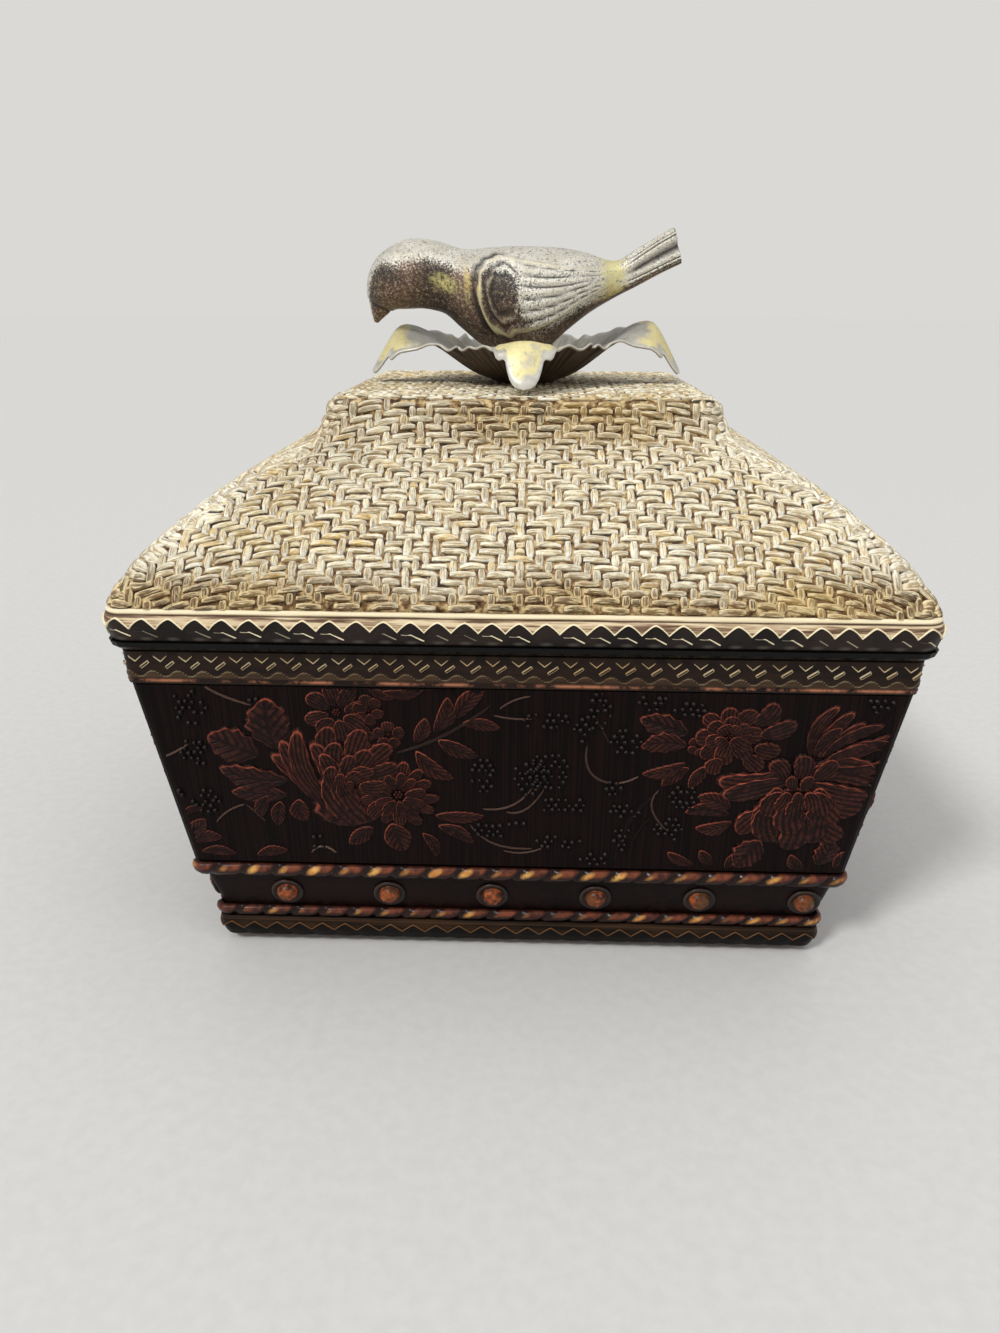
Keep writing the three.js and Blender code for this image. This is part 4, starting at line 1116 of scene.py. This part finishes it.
# Rise, rub, gold and pale at a place along the bird and degrees above its level: rub paints highlights on
# ridges and shade in grooves, pale is silver rub with painted top light
def birdRelief(along, level, share):
    x0, level0 = bird["shoulder"]
    reachX, reachLevel = bird["shoulderReach"]
    ring = math.hypot((along - x0) / reachX, (level - level0) / reachLevel)
    ring += 0.035 * math.sin(level * 0.21 + along * 1.1)
    t = (along - x0) / (bird["rump"] - x0)
    held = min(1, max(0, t))
    w = (level - between(level0, 12, held)) / between(43, 19, held)
    disc = smooth(1.07, 0.96, ring)
    blade = smooth(1.07, 0.96, abs(w)) * smooth(1.05, 0.9, t) if along > x0 else 0
    front = smooth(x0 + 8, x0 + 2, along)
    feathered = smooth(x0 + 4, x0 + 9, along) * blade
    row = (w + 1) / 2 * bird["feathers"]
    feather = bump(row - round(row), 0.15) * feathered * smooth(1.02, 0.8, t)
    arcs = bump(ring - 0.72, 0.055) + bump(ring - 0.44, 0.06)
    crease = bump(ring - 1.2, 0.09) * smooth(x0 + 2, x0 - 3, along) * smooth(-62, -40, level)
    tail = smooth(35, 41, along) * smooth(-58, -40, level)
    rib = bump(level / 16 - round(level / 16), 0.17) * tail
    beak = bump(share - 0.125, 0.011)
    rise = bird["wingRise"] * max(disc, blade) + 0.3 * front * bump(ring - 0.9, 0.08)
    rise -= 0.6 * front * arcs * disc + 0.85 * feather + 0.6 * crease + 0.6 * rib + 0.4 * beak
    edge = front * bump(ring - 0.93, 0.07) + feathered * bump(abs(w) - 0.95, 0.07)
    # Rub: a painted highlight on the shoulder rim and feather edges, painted shade in the arcs, feathers,
    # crease, ribs and beak groove
    rubAndPaintedLight = 0.45 + 0.5 * edge - 0.42 * max(front * arcs * disc, feather, crease, rib, beak)
    plain = tail * (1 - rib) * 0.5 + 0.6 * feathered * (1 - feather)
    rubAndPaintedLight += 0.25 * (bump(ring - 0.58, 0.05) * front + plain)
    streak = bump(along + 21.5 + (level / 30) ** 2, 1.4) * bump(level - 6, 30)
    patch = bump(math.hypot((along + 30) / 6, (level + 6) / 15), 1)
    rimGold = 0.75 * front * bump(ring - 0.93, 0.09) * smooth(30, 0, level)
    rumpGold = bump(along - 32, 5) * smooth(-62, -35, level)
    gold = max(rumpGold, rimGold, streak, 0.8 * patch, 0.7 * feathered * bump(w + 0.95, 0.1))
    # Pale: the upper part painted pale as if lit from above, partly silver rub; the line sits higher at the
    # front and at the beak
    low = between(21, -30, smooth(-14, 6, along)) + 22 * smooth(-48, -56, along)
    pale = smooth(low - 16, low + 18, level)
    pale *= 1 - 0.8 * front * smooth(0.88, 0.7, ring) * smooth(34, 6, level)
    return rise, rubAndPaintedLight, gold, pale


def birdPoint(share, angle, squeeze, push):
    b = bird
    topX, topZ, lowX, lowZ, wide = splineAt(b["sections"], share)
    reach = b["length"] - b["tailTrim"] * smooth(0.8, 1, share)
    top = Vector((b["left"] + topX * reach, b["bottom"] + topZ * b["height"]))
    low = Vector((b["left"] + lowX * reach, b["bottom"] + lowZ * b["height"]))
    power = 2 / (2 + 3.2 * smooth(0.76, 1, share))
    up = math.copysign(abs(math.sin(angle)) ** power, math.sin(angle)) * squeeze
    across = math.copysign(abs(math.cos(angle)) ** power, math.cos(angle)) * squeeze
    half = (top - low) / 2
    middle = (top + low) / 2 + half * up + Vector((half.y, -half.x)).normalized() * push
    return Vector((middle.x, across * wide * b["halfWidth"], middle.y))


def birdMaterial():
    finish = Finish("birdPatinaAndPaintedLight", roughness=0.4, metallic=0.3)
    rubAndPaintedLight, gold, pale = finish.marks("rubAndPaintedLight", "gold", "pale")
    patch = finish.noise(75, 4)
    grain = finish.noise(1300, 3, 0.7)
    dark = finish.blend(patch, 0.38, 0.62, (40, 29, 30), (104, 75, 60))
    silver = finish.blend(patch, 0.35, 0.65, (244, 243, 232), (200, 195, 182))
    share = finish.plus(pale, finish.level(patch, 0.3, 0.7, -0.3, 0.3))
    share = finish.plus(share, finish.level(finish.noise(1500, 2, 0.7), 0.35, 0.65, -0.5, 0.5))
    speck = finish.noise(850, 3, 0.8)
    # Silver where the pale mark is high: silver rub with painted top light over it
    colour = finish.blend(share, 0.3, 0.8, dark, silver)
    colour = finish.blend(grain, 0.48, 0.7, colour, (150, 132, 98), 0.4)
    colour = finish.blend(speck, 0.54, 0.64, colour, (200, 182, 142), 0.45)
    colour = finish.blend(speck, 0.46, 0.36, colour, (54, 44, 38), 0.7)
    # Painted highlight on ridges and edges, painted shade in grooves, from the rub mark
    colour = finish.blend(rubAndPaintedLight, 0.5, 0.9, colour, (228, 218, 190), 0.75)
    colour = finish.blend(rubAndPaintedLight, 0.44, 0.05, colour, (36, 29, 24), 0.95)
    shine = finish.times(gold, finish.level(speck, 0.38, 0.56, 0.3, 1))
    yellow = finish.blend(patch, 0.5, 0.75, (214, 204, 132), (172, 140, 84))
    colour = finish.blend(shine, 0.15, 0.75, colour, yellow, 0.85)
    height = finish.plus(grain, speck)
    return finish.dress(colour, (grain, 0.34, 0.56), height, 0.3, 0.7)


def makeBird():
    b = bird
    stations, caps = b["stations"], b["capRows"]

    def bodyPoint(_, spot):
        station = round((spot.x + 0.5) * (stations + 2 * caps)) - caps
        share = min(1, max(0, station / stations))
        over = max(-station, station - stations, 0) / caps
        squeeze = math.sqrt(1 - over ** 2)
        push = math.copysign(over ** 2 * (b["tailBulge"] if station > 0 else 0.3), station)
        angle = spot.y * 2 * math.pi
        point = birdPoint(share, angle, squeeze, push)
        rise, *values = birdRelief(point.x, math.degrees(math.asin(math.sin(angle))), share)
        return point, rise * squeeze * smooth(0, 0.1, share), *values

    bm = gridOf(stations + 2 * caps, b["sides"])
    shapeVerts(bm, ("rise", "rubAndPaintedLight", "gold", "pale"), bodyPoint)
    welded(bm)
    bm.normal_update()
    rises, rubAndPaintedLight = (bm.verts.layers.float[mark] for mark in ("rise", "rubAndPaintedLight"))
    for vert, normal in [(vert, vert.normal.copy()) for vert in bm.verts]:
        vert.co += normal * vert[rises]
    spin(bm, b["bossOutline"], b["bossSteps"], [(rubAndPaintedLight, b["bossRub"])])
    finishPiece(bm, "bird_cast", "lid", birdMaterial(), ["bird"])


makeBird()
print("bird ready")


# Embossed flowers, leaves and berry sprigs on the panels. Places are across and up the panel's slope
floral = {
    "footHalf": 111.5, "foot": 37.2, "tilt": 8.17, "length": 69.0, "corner": 3.5, "hem": 0.4,
    "shift": 60, "repeat": 250,
    "flowers": [  # across, up, radius, rings of petals, petals in the outer ring, turn
        (-39, 29, 13.5, 2, 13, 25), (-57, 60, 11, 1, 8, 12), (66, 54, 11.5, 3, 8, 0),
        (-47, 61, 5.6, 1, 6, 45), (-41, 52, 5.2, 1, 5, 20), (-50, 51, 5, 1, 6, 5), (-47, 45, 4.4, 1, 5, 40),
        (57, 50, 4, 1, 5, 0),
    ],
    "peonies": [  # petals from the lowest to the highest: from across, up, to across, up, width
        [
            (-57, 40, -57, 15, 27), (-62, 24, -80, 45, 7), (-63, 23, -76, 51, 7), (-62, 25, -70, 55, 7.5),
            (-58, 40, -60, 56, 8), (-54, 40, -49, 55, 8), (-52, 38, -40, 49, 8), (-51, 36, -38, 41, 7.5),
            (-60, 26, -66, 50, 8), (-58, 36, -58, 50, 7.5), (-54, 36, -47, 47, 7.5), (-52, 33, -42, 33, 7),
            (-63, 37, -51, 17, 12), (-60, 28, -63, 46, 7), (-57, 35, -53, 45, 6.5), (-55, 33, -46, 39, 6.5),
            (-60, 36, -53, 23, 9), (-58, 30, -60, 41, 6), (-56, 33, -50, 38, 5.5), (-57, 35, -55, 27, 6),
            (-57, 31, -57, 38, 4), (-56, 33, -53, 33, 4),
        ],
        [
            (90, 36, 90, 11, 30), (98, 30, 112, 27, 10), (95, 24, 107, 14, 10), (83, 24, 72, 16, 9),
            (88, 41, 63, 37, 9.5), (88, 38, 65, 31, 8.5), (91, 41, 117, 38, 11), (91, 37, 114, 31, 9),
            (84, 36, 77, 20, 10), (96, 36, 104, 21, 10), (82, 30, 84, 12, 10), (98, 30, 97, 12, 10),
            (90, 28, 90, 9, 12), (86, 38, 80, 45, 7), (94, 38, 101, 46, 7), (90, 38, 90, 48, 7.5),
            (85, 34, 81, 23, 8), (95, 34, 100, 24, 8), (90, 31, 90, 16, 11), (87, 34, 84, 26, 6.5),
            (93, 34, 96, 26, 6.5), (90, 32, 90, 22, 7), (89, 34, 87, 40, 4.5), (91, 34, 94, 40, 4.5),
            (90, 34, 90, 28, 4.5),
        ],
        [
            (73, 58, 80, 66, 7.5), (75, 54, 87, 59, 7), (74, 50, 83, 48, 7), (71, 47, 78, 41, 6.5),
            (64, 46, 62, 39, 6.5),
        ],
        [
            (92, 46, 94, 63, 5), (92, 46, 99, 66, 5), (93, 46, 104, 64, 5), (94, 46, 108, 60, 4.6),
            (95, 46, 114, 59, 4.4), (96, 45, 119, 56, 4.6), (97, 44, 121, 51, 4.6), (98, 43, 119, 46, 4.4),
            (93, 48, 101, 58, 4), (97, 46, 110, 52, 4),
        ],
    ],
    "leaves": [  # from across, up, to across, up, width, whether the edge is toothed
        (-77, 45, -79, 66, 15, 1), (-83, 43, -100, 51, 14, 1), (-74, 34, -98, 39, 10, 1),
        (-75, 28, -95, 29, 8, 0), (-82, 28, -86, 18, 5, 0), (-78, 26, -80, 15, 5.5, 0),
        (-72, 27, -70, 17, 7, 0), (-33, 49, -29, 59, 5.5, 0), (-27, 53, -22, 67, 6.5, 0),
        (-20, 58, -10, 70, 6.5, 0), (-18, 57, -5, 55, 5, 0), (-26, 51, -12, 44, 6, 0),
        (-33, 47, -20, 35, 6.5, 0), (-28, 21, -10, 21, 5.2, 0), (-27, 17, -14, 9, 5.4, 0),
        (-32, 14, -27, 3, 4.5, 0), (-48, 16, -57, 8, 6.5, 0), (-42, 18, -38, 5, 10, 0),
        (-43, 68, -28, 70, 4.4, 0), (-47, 70, -38, 65, 3.4, 0), (-113, 11, -104, 18, 6.5, 0),
        (-110, 8, -99, 10, 5.4, 0), (-108, 4, -95, 3, 4.4, 0), (-89, 3, -77, 5, 4.6, 0),
        (54, 54, 37, 60, 9, 1), (54, 50, 38, 49, 8, 1), (54, 44, 39, 39, 5.4, 0), (55, 42, 46, 34, 5.4, 0),
        (61, 43, 55, 33, 5, 0), (70, 26, 58, 31, 7, 0), (70, 23, 54, 24, 6, 0), (71, 21, 58, 18, 6, 0),
        (81, 14, 73, 1, 11, 1), (60, 2, 50, 8, 4.4, 0), (66, 2, 61, 9, 4.4, 0), (70, 1, 75, 8, 4.4, 0),
        (100, 3, 104, 15, 9, 1), (97, 1, 91, 8, 5, 0), (106, 2, 111, 10, 5, 0), (-104, 22, -112, 19, 3, 0),
    ],
    "berries": [  # across, up, half width, half height of a cluster
        (-103, 61, 5, 6.5), (-104, 44, 5, 6), (-114, 29, 3.5, 5), (-103, 25, 5.5, 5.5), (-67, 9, 4, 2.6),
        (-11, 37, 4, 7), (4, 36, 5, 7.5), (-9, 15, 6, 4), (9, 58, 7, 3.2), (25, 62, 4, 7), (20, 55, 3, 4.5),
        (34, 51, 5.2, 5), (10, 39, 6.5, 7), (15, 26, 7, 4), (42, 65, 4.5, 3), (53, 63, 5, 2.6),
        (31, 33, 3, 2.6), (35, 24, 5.5, 3), (54, 30, 4.5, 4.5), (50, 17, 6, 5), (14, 11, 8, 3.2),
        (26, 4, 4.5, 3.2), (35, 12, 3.5, 5), (111, 65, 4, 4), (-23, 69, 5, 1.8), (0, 18, 3.5, 2),
        (-84, 64, 2.6, 2),
    ],
    "stems": [  # from, by way of and to, width, how pale
        (-99, 70, -94, 65, -83, 62, 1.0, 0.6), (-118, 41, -111, 43, -105, 48, 1.0, 0.7),
        (-101, 16, -97, 22, -90, 24, 0.9, 0.6), (-90, 24, -86, 20, -84, 17, 0.8, 0.3),
        (-40, 45, -24, 49, -8, 64, 1.5, 0.1), (-6, 62, -2, 66, 4, 67, 0.8, 0.6),
        (-8, 60, -2, 58, 5, 59, 0.8, 0.6), (-12, 24, -1, 22, 5, 33, 0.9, 0.6),
        (-16, 18, -10, 6, 6, 8, 0.9, 0.5), (-4, 23, 3, 20, 9, 33, 0.9, 0.5), (-5, 7, 2, 4, 10, 9, 0.8, 0.6),
        (22, 50, 20, 36, 31, 35, 1.1, 0.4), (31, 35, 35, 35, 39, 38, 0.8, 0.8),
        (46, 33, 40, 26, 50, 16, 0.9, 0.5), (44, 30, 34, 20, 33, 1, 2.0, 0),
        (-70, 4, -66, 10, -61, 4, 0.9, 1), (110, 37, 114, 36, 118, 33, 0.8, 0.7),
        (24, 60, 26, 56, 29, 50, 0.8, 0.2), (38, 3, 37, 14, 44, 22, 1.2, 0),
    ],
    "berryPitch": 2.3, "berryRowPitch": 2.3 * 0.87, "berryRadius": 0.98, "berryShare": 0.8,
    "sink": -0.3, "seed": 21,
}
discReach = {4: [0, 0.4, 0.76, 0.88, 1], 2: [0, 0.62, 1]}


# A square grid's spot on a disc, with the number of its ring
def discSpot(spot, rings):
    x, y = 2 * spot.x, 2 * spot.y
    edge = max(abs(x), abs(y))
    if edge < 1e-6:
        return 0, 0, 0
    ring = round(edge * rings)
    x, y, reach = x / edge, y / edge, discReach[rings][ring]
    return ring, reach * x * math.sqrt(1 - y * y / 2), reach * y * math.sqrt(1 - x * x / 2)


def onPanel(side, across, up, rise):
    f = floral
    tilt = math.radians(f["tilt"])
    least, most = f["hem"], f["length"] - f["hem"]
    reach = f["footHalf"] + up * math.sin(tilt) - f["corner"]
    if abs(across) > reach or up < least or up > most:
        rise = f["sink"]
    across = min(reach, max(-reach, across))
    up = min(most, max(least, up))
    z = f["foot"] + up * math.cos(tilt) - rise * math.sin(tilt)
    x, y = quarterTurned(side, across, -(f["footHalf"] + up * math.sin(tilt) + rise * math.cos(tilt)))
    return Vector((x, y, z))


# Petals and leaves as (kind, across, up, angle, length, width, rise, shade, is toothed, bend).
# The kinds are 0 for petals, 1 for leaves, 2 for stems and 3 for berries
def flowerPetals(flower, dice):
    across, up, radius, rings, count, turn = flower
    petals = []
    for ring in range(rings):
        outer = radius * (1, 0.7, 0.42)[ring]
        inner = outer * 0.2
        number = max(4, count - 2 * ring)
        for k in range(number):
            angle = math.radians(turn + ring * 23 + (k + dice.uniform(-0.12, 0.12)) * 360 / number)
            length = (outer - inner) * dice.uniform(0.9, 1.08)
            width = 2 * math.pi * outer * 0.68 / number * dice.uniform(0.95, 1.2)
            rise = 0.4 + 0.35 * ring + 0.04 * k
            petals.append((0, across + inner * math.cos(angle), up + inner * math.sin(angle), angle, length,
                           width, rise, dice.random(), 0.3, dice.uniform(-0.08, 0.08)))
    return petals


def shapeBetween(kind, ends, rise, isToothed, bend, dice):
    x0, s0, x1, s1, width = ends
    angle, length = math.atan2(s1 - s0, x1 - x0), math.hypot(x1 - x0, s1 - s0)
    return kind, x0, s0, angle, length, width, rise, dice.random(), isToothed, dice.uniform(-bend, bend)


def floralShapes(dice):
    shapes = []
    for index, (*ends, isToothed) in enumerate(floral["leaves"]):
        shapes.append(shapeBetween(1, ends, 0.36 + 0.04 * (index % 3), isToothed, 0.16, dice))
    for peony in floral["peonies"]:
        for index, ends in enumerate(peony):
            shapes.append(shapeBetween(0, ends, 0.45 + 0.05 * index, 0.5, 0.14, dice))
    for flower in floral["flowers"]:
        shapes += flowerPetals(flower, dice)
    return shapes


# Berries as (across, up, radius, kind). The flowers have a few small ones in the middle
def floralBerries(dice):
    f = floral
    pitch, rowPitch = f["berryPitch"], f["berryRowPitch"]
    berries = []
    for across, up, wide, tall in f["berries"]:
        rows, reach = int(tall / rowPitch), int(wide / pitch) + 1
        for row in range(-rows, rows + 1):
            for column in range(-reach, reach + 1):
                x = (column + 0.5 * (row % 2)) * pitch + dice.uniform(-0.35, 0.35)
                s = row * rowPitch + dice.uniform(-0.35, 0.35)
                if math.hypot(x / wide, s / tall) < 1.05 and dice.random() < f["berryShare"]:
                    berries.append((across + x, up + s, f["berryRadius"] * dice.uniform(0.8, 1.15), 3))
    for across, up, radius, *_ in f["flowers"]:
        for k in range(7):
            turn = k * math.pi / 3
            reach = 0 if k == 6 else radius * 0.085
            berries.append((across + reach * math.cos(turn), up + reach * math.sin(turn), radius * 0.05, 0))
    return berries


def floralMaterial():
    finish = Finish("embossedFlorals", roughness=0.42, Specular_IOR_Level=0.09)
    rubAndPaintedLight, kind, along, across, shade = finish.marks("rubAndPaintedLight", "kind", "along", "across", "shade")
    patch = finish.noise(26, 4)
    grain = finish.noise(520, 4, 0.65)
    isLeaf = finish.level(kind, 0.4, 0.6)
    isStem = finish.level(kind, 1.4, 1.6)
    isBerry = finish.level(kind, 2.4, 2.6)
    side = finish.math("ABSOLUTE", across)
    petalLines = finish.math("SINE", finish.times(across, 17))
    slanted = finish.math("SUBTRACT", along, finish.times(side, 0.7))
    leafLines = finish.math("SINE", finish.times(slanted, 19))
    midrib = finish.level(side, 0.05, 0.13, 1, 0)
    lines = finish.mix(isLeaf, finish.level(petalLines, 0, 0.8), finish.level(leafLines, 0.1, 0.9))
    lines = finish.math("MAXIMUM", lines, finish.times(midrib, isLeaf))
    body = finish.mix(shade, (34, 15, 13), (66, 30, 23))
    body = finish.blend(patch, 0.42, 0.66, body, (40, 22, 19))
    body = finish.blend(grain, 0.45, 0.6, body, (112, 60, 42), 0.3)
    body = finish.mix(finish.times(lines, 0.9), body, (22, 11, 10))
    # Darker towards the base of each petal and leaf: painted shade where they tuck under one another
    body = finish.blend(along, 0.2, -1, body, (24, 12, 11), 0.75)
    rim = finish.blend(patch, 0.35, 0.65, (178, 90, 66), (108, 52, 42))
    # A painted highlight on the rims where the rub mark is high, painted shade in the grooves between petals
    # where it is low
    body = finish.blend(rubAndPaintedLight, 0.58, 1, body, rim)
    body = finish.blend(rubAndPaintedLight, 0.3, -0.3, body, (17, 10, 10))
    stem = finish.mix(rubAndPaintedLight, (24, 15, 15), (120, 94, 82))
    # Berries: dark, with a painted highlight from the rub mark
    dark = finish.blend(rubAndPaintedLight, 0.3, 0.9, (17, 12, 13), (66, 59, 56))
    colour = finish.mix(isBerry, finish.mix(isStem, body, stem), dark)
    colour = finish.blend(grain, 0.5, 0.72, colour, (54, 32, 28), 0.3)
    height = finish.math("SUBTRACT", finish.times(grain, 0.4), lines)
    return finish.dress(colour, (isBerry, 0.42, 0.22), height, 0.4, 0.9)


def makeFlorals():
    f = floral
    finish = floralMaterial()
    dice = random.Random(f["seed"])
    shapes, berries = floralShapes(dice), floralBerries(dice)
    marks = ("rubAndPaintedLight", "kind", "along", "across", "shade")
    petalStamp, berryStamp, stemStamp = stampGrid(8, 8), stampGrid(4, 4), stampGrid(18, 3)
    for side, name in enumerate(sideNames):
        def moved(across):
            return (across + f["shift"] * side + f["repeat"] / 2) % f["repeat"] - f["repeat"] / 2

        def petalPoint(shape, spot):
            kind, across, up, angle, length, width, rise, shade, isToothed, bend = shape
            ring, px, py = discSpot(spot, 4)
            pointed = max(0, 1 - px * px) ** 0.42 if kind else between(0.78, 1.16, (px + 1) / 2)
            outward = 1 if (round(8 * spot.x) + round(8 * spot.y)) % 2 else -1
            tooth = 1 + 0.13 * isToothed * outward if ring > 2 else 1
            t = (px + 1) / 2
            over = py * pointed * tooth * width / 2 + bend * length * math.sin(math.pi * t)
            x = t * length * math.cos(angle) - over * math.sin(angle)
            s = t * length * math.sin(angle) + over * math.cos(angle)
            out = rise + (0, 0, -0.03, 0.03)[ring] if ring < 4 else f["sink"]
            # Each petal's rim gets a painted highlight, brightest on its upper-left side, and its outer edge
            # a dark painted shade line as a groove
            lit = 0.5 + 0.5 * math.cos(math.atan2(py, px) + angle - 2.2)
            rubAndPaintedLight = (0.1, 0.1, 0.15, between(0.5, 1.05, lit), -0.7)[ring]
            middle = moved(across + length / 2 * math.cos(angle)) - length / 2 * math.cos(angle)
            return onPanel(side, middle + x, up + s, out), rubAndPaintedLight, kind, px, py, shade

        def berryPoint(berry, spot):
            across, up, radius, kind = berry
            ring, px, py = discSpot(spot, 2)
            out = (1.05, 0.8, 0)[ring] * radius + (0.15 if ring < 2 else f["sink"])
            # Each berry gets a painted highlight on its upper left
            rubAndPaintedLight = smooth(0.1, 0.6, py - 0.3 * px) if ring == 1 else 0.1
            return onPanel(side, moved(across) + px * radius, up + py * radius, out), rubAndPaintedLight, kind, px, py, 0.5

        def stemPoint(stem, spot):
            x0, s0, x1, s1, x2, s2, width, pale = stem
            t = spot.x + 0.5
            x = between(between(x0, x1, t), between(x1, x2, t), t)
            s = between(between(s0, s1, t), between(s1, s2, t), t)
            along = math.atan2(between(s1 - s0, s2 - s1, t), between(x1 - x0, x2 - x1, t))
            taper = width * (1 - 0.75 * abs(2 * spot.x) ** 5)
            out = 0.55 * min(1, width) if abs(spot.y) < 0.3 and abs(spot.x) < 0.49 else f["sink"]
            middle = moved((x0 + x2) / 2) - (x0 + x2) / 2
            over = spot.y * taper
            return (onPanel(side, middle + x - over * math.sin(along), s + over * math.cos(along), out),
                    pale if out > 0 else pale * 0.4, 2, 2 * spot.x, 2 * spot.y, 0.5)

        bm = bmesh.new()
        stampAll(bm, stemStamp, f["stems"], stemPoint, marks)
        stampAll(bm, petalStamp, shapes, petalPoint, marks)
        stampAll(bm, berryStamp, berries, berryPoint, marks)
        finishPiece(bm, "floral_relief_" + name, "base", finish)


makeFlorals()
print("florals ready")


# Finishes of the solids that stay as they are
def panelLeather(name, alongAxis):
    finish = Finish(name, roughness=0.45, Specular_IOR_Level=0.06)
    squash = (1, 0.001, 0.01) if alongAxis == "X" else (0.001, 1, 0.01)
    ribs = finish.noise(1600, 1, 0.5, squash)
    patch = finish.noise(16, 4)
    grain = finish.noise(500, 4, 0.6)
    ground = finish.blend(patch, 0.35, 0.65, (15, 8, 8), (10, 6, 6))
    colour = finish.blend(ribs, 0.4, 0.62, ground, (24, 12, 11))
    height = finish.plus(finish.times(ribs, 0.8), finish.times(grain, 0.3))
    return finish.dress(colour, (grain, 0.34, 0.52), height, 0.25, 0.7)


# A blotched ground with flecks over it. Grounds and flecks are given as their limits and colours
def blotched(name, shader, patches, flecks, ground, over, rough, relief):
    finish = Finish(name, **shader)
    patch, fleck = finish.noise(*patches), finish.noise(*flecks)
    low, high, tint, most = over
    colour = finish.blend(fleck, low, high, finish.blend(patch, *ground), tint, most)
    return finish.dress(colour, (fleck, *rough), fleck, *relief)


def stainedWood(name, tones):
    finish = Finish(name, roughness=0.5)
    grain = finish.noise(36, 5, 0.65, (1, 1, 9))
    pore = finish.noise(300, 3, 0.6, (0.2, 0.2, 1))
    colour = finish.ramp(grain, *zip((0.3, 0.5, 0.7), tones))
    colour = finish.blend(pore, 0.55, 0.72, colour, (56, 34, 22), 0.6)
    height = finish.plus(finish.times(grain, 0.5), pore)
    return finish.dress(colour, (pore, 0.4, 0.6), height, 0.12, 0.5)


def feltCloth(name, first, second):
    return blotched(name, {"roughness": 0.92, "Sheen_Weight": 0.35}, (40, 3), (900, 5, 0.75),
                    (0.35, 0.65, first, second), (0.35, 0.7, tuple(value + 26 for value in second), 0.4),
                    (0.86, 0.98), (0.35, 0.8))


def plainSteel():
    finish = Finish("plainSteel", roughness=0.3, metallic=1)
    turned = finish.noise(700, 3, 0.5, (1, 1, 6))
    colour = finish.blend(turned, 0.3, 0.7, (176, 174, 170), (140, 138, 134))
    return finish.dress(colour, (turned, 0.24, 0.4), turned, 0.05, 0.4)


def onEachSide(start):
    return [start + name for name in sideNames]


friezeLeather = blotched(
    "friezeLeather", {"roughness": 0.45, "Specular_IOR_Level": 0.1}, (24, 4), (420, 5, 0.65),
    (0.35, 0.65, (23, 10, 8), (12, 6, 5)), (0.45, 0.7, (38, 19, 14), 0.5), (0.32, 0.52), (0.2, 0.6))
blackLacquer = blotched(
    "blackLacquer", {"roughness": 0.3, "Specular_IOR_Level": 0.12}, (30, 4), (260, 4, 0.7),
    (0.4, 0.6, (9, 9, 10), (14, 13, 13)), (0.6, 0.75, (40, 37, 34), 0.6), (0.22, 0.42), (0.06, 0.4))
mouldedShell = blotched(
    "mouldedShell", {"roughness": 0.6}, (20, 4), (340, 5, 0.7),
    (0.35, 0.65, (96, 68, 45), (76, 53, 36)), (0.5, 0.7, (130, 98, 66), 0.5), (0.5, 0.7), (0.25, 0.6))
boardStain = stainedWood("stainedWood", ((78, 48, 30), (104, 67, 42), (126, 84, 54)))
solidFinishes = [
    (panelLeather("panelLeatherAcross", "X"), ["floral_panel_front", "floral_panel_back"]),
    (panelLeather("panelLeatherDeep", "Y"), ["floral_panel_right", "floral_panel_left"]),
    (friezeLeather, onEachSide("frieze_")),
    (blackLacquer, onEachSide("lid_frame_") + ["lid_lip"]),
    (boardStain, onEachSide("wall_") + ["bottom_board"]),
    (mouldedShell, ["lid_shell"]),
    (feltCloth("linerFelt", (92, 28, 30), (74, 22, 26)), ["floor_liner"]),
    (feltCloth("footFelt", (42, 40, 38), (30, 29, 28)),
     ["foot_front_left", "foot_front_right", "foot_back_right", "foot_back_left"]),
    (plainSteel(), ["finial_washer", "finial_screw"]),
]
for material, names in solidFinishes:
    for name in names:
        nodes[name].data.materials.clear()
        nodes[name].data.materials.append(material)
print("solids dressed")


# Thin dark keys that close the mitres, as (distance from the middle, height)
mitreKeys = {
    "thickness": 0.3,
    "tones": ((20, 12, 8), (26, 16, 11), (32, 20, 14)),
    "walls": [(136.2, 4.5), (144.9, 4.5), (144.9, 11.3), (145.4, 11.6), (154.3, 36.2), (155.9, 37.4),
              (169.7, 105.3), (168.5, 105.7), (170.6, 117), (159, 117)],
    "lidFrame": [(147.4, 117.8), (170.6, 117.8), (172.7, 118.2), (174.3, 119.3), (174.9, 120.5),
                 (172.6, 120.9), (172.6, 131), (147.4, 131)],
}


def makeMitreKeys(name, body, material, outline):
    bm = bmesh.new()
    for side in range(4):
        corner = Matrix.Rotation(math.radians(45 + 90 * side), 3, "Z")
        across = corner @ Vector((0, mitreKeys["thickness"], 0))
        verts = [bm.verts.new(corner @ Vector((out, 0, z)) - across / 2) for out, z in outline]
        grown = bmesh.ops.extrude_face_region(bm, geom=[bm.faces.new(verts)])["geom"]
        bmesh.ops.translate(bm, vec=across, verts=[v for v in grown if isinstance(v, bmesh.types.BMVert)])
    bmesh.ops.recalc_face_normals(bm, faces=bm.faces)
    finishPiece(bm, name, body, material).data.shade_flat()


keyStain = stainedWood("mitreKeyStain", mitreKeys["tones"])
makeMitreKeys("mitre_keys_walls", "base", keyStain, mitreKeys["walls"])
makeMitreKeys("mitre_keys_lid", "lid", blackLacquer, mitreKeys["lidFrame"])
print("mitre keys ready")
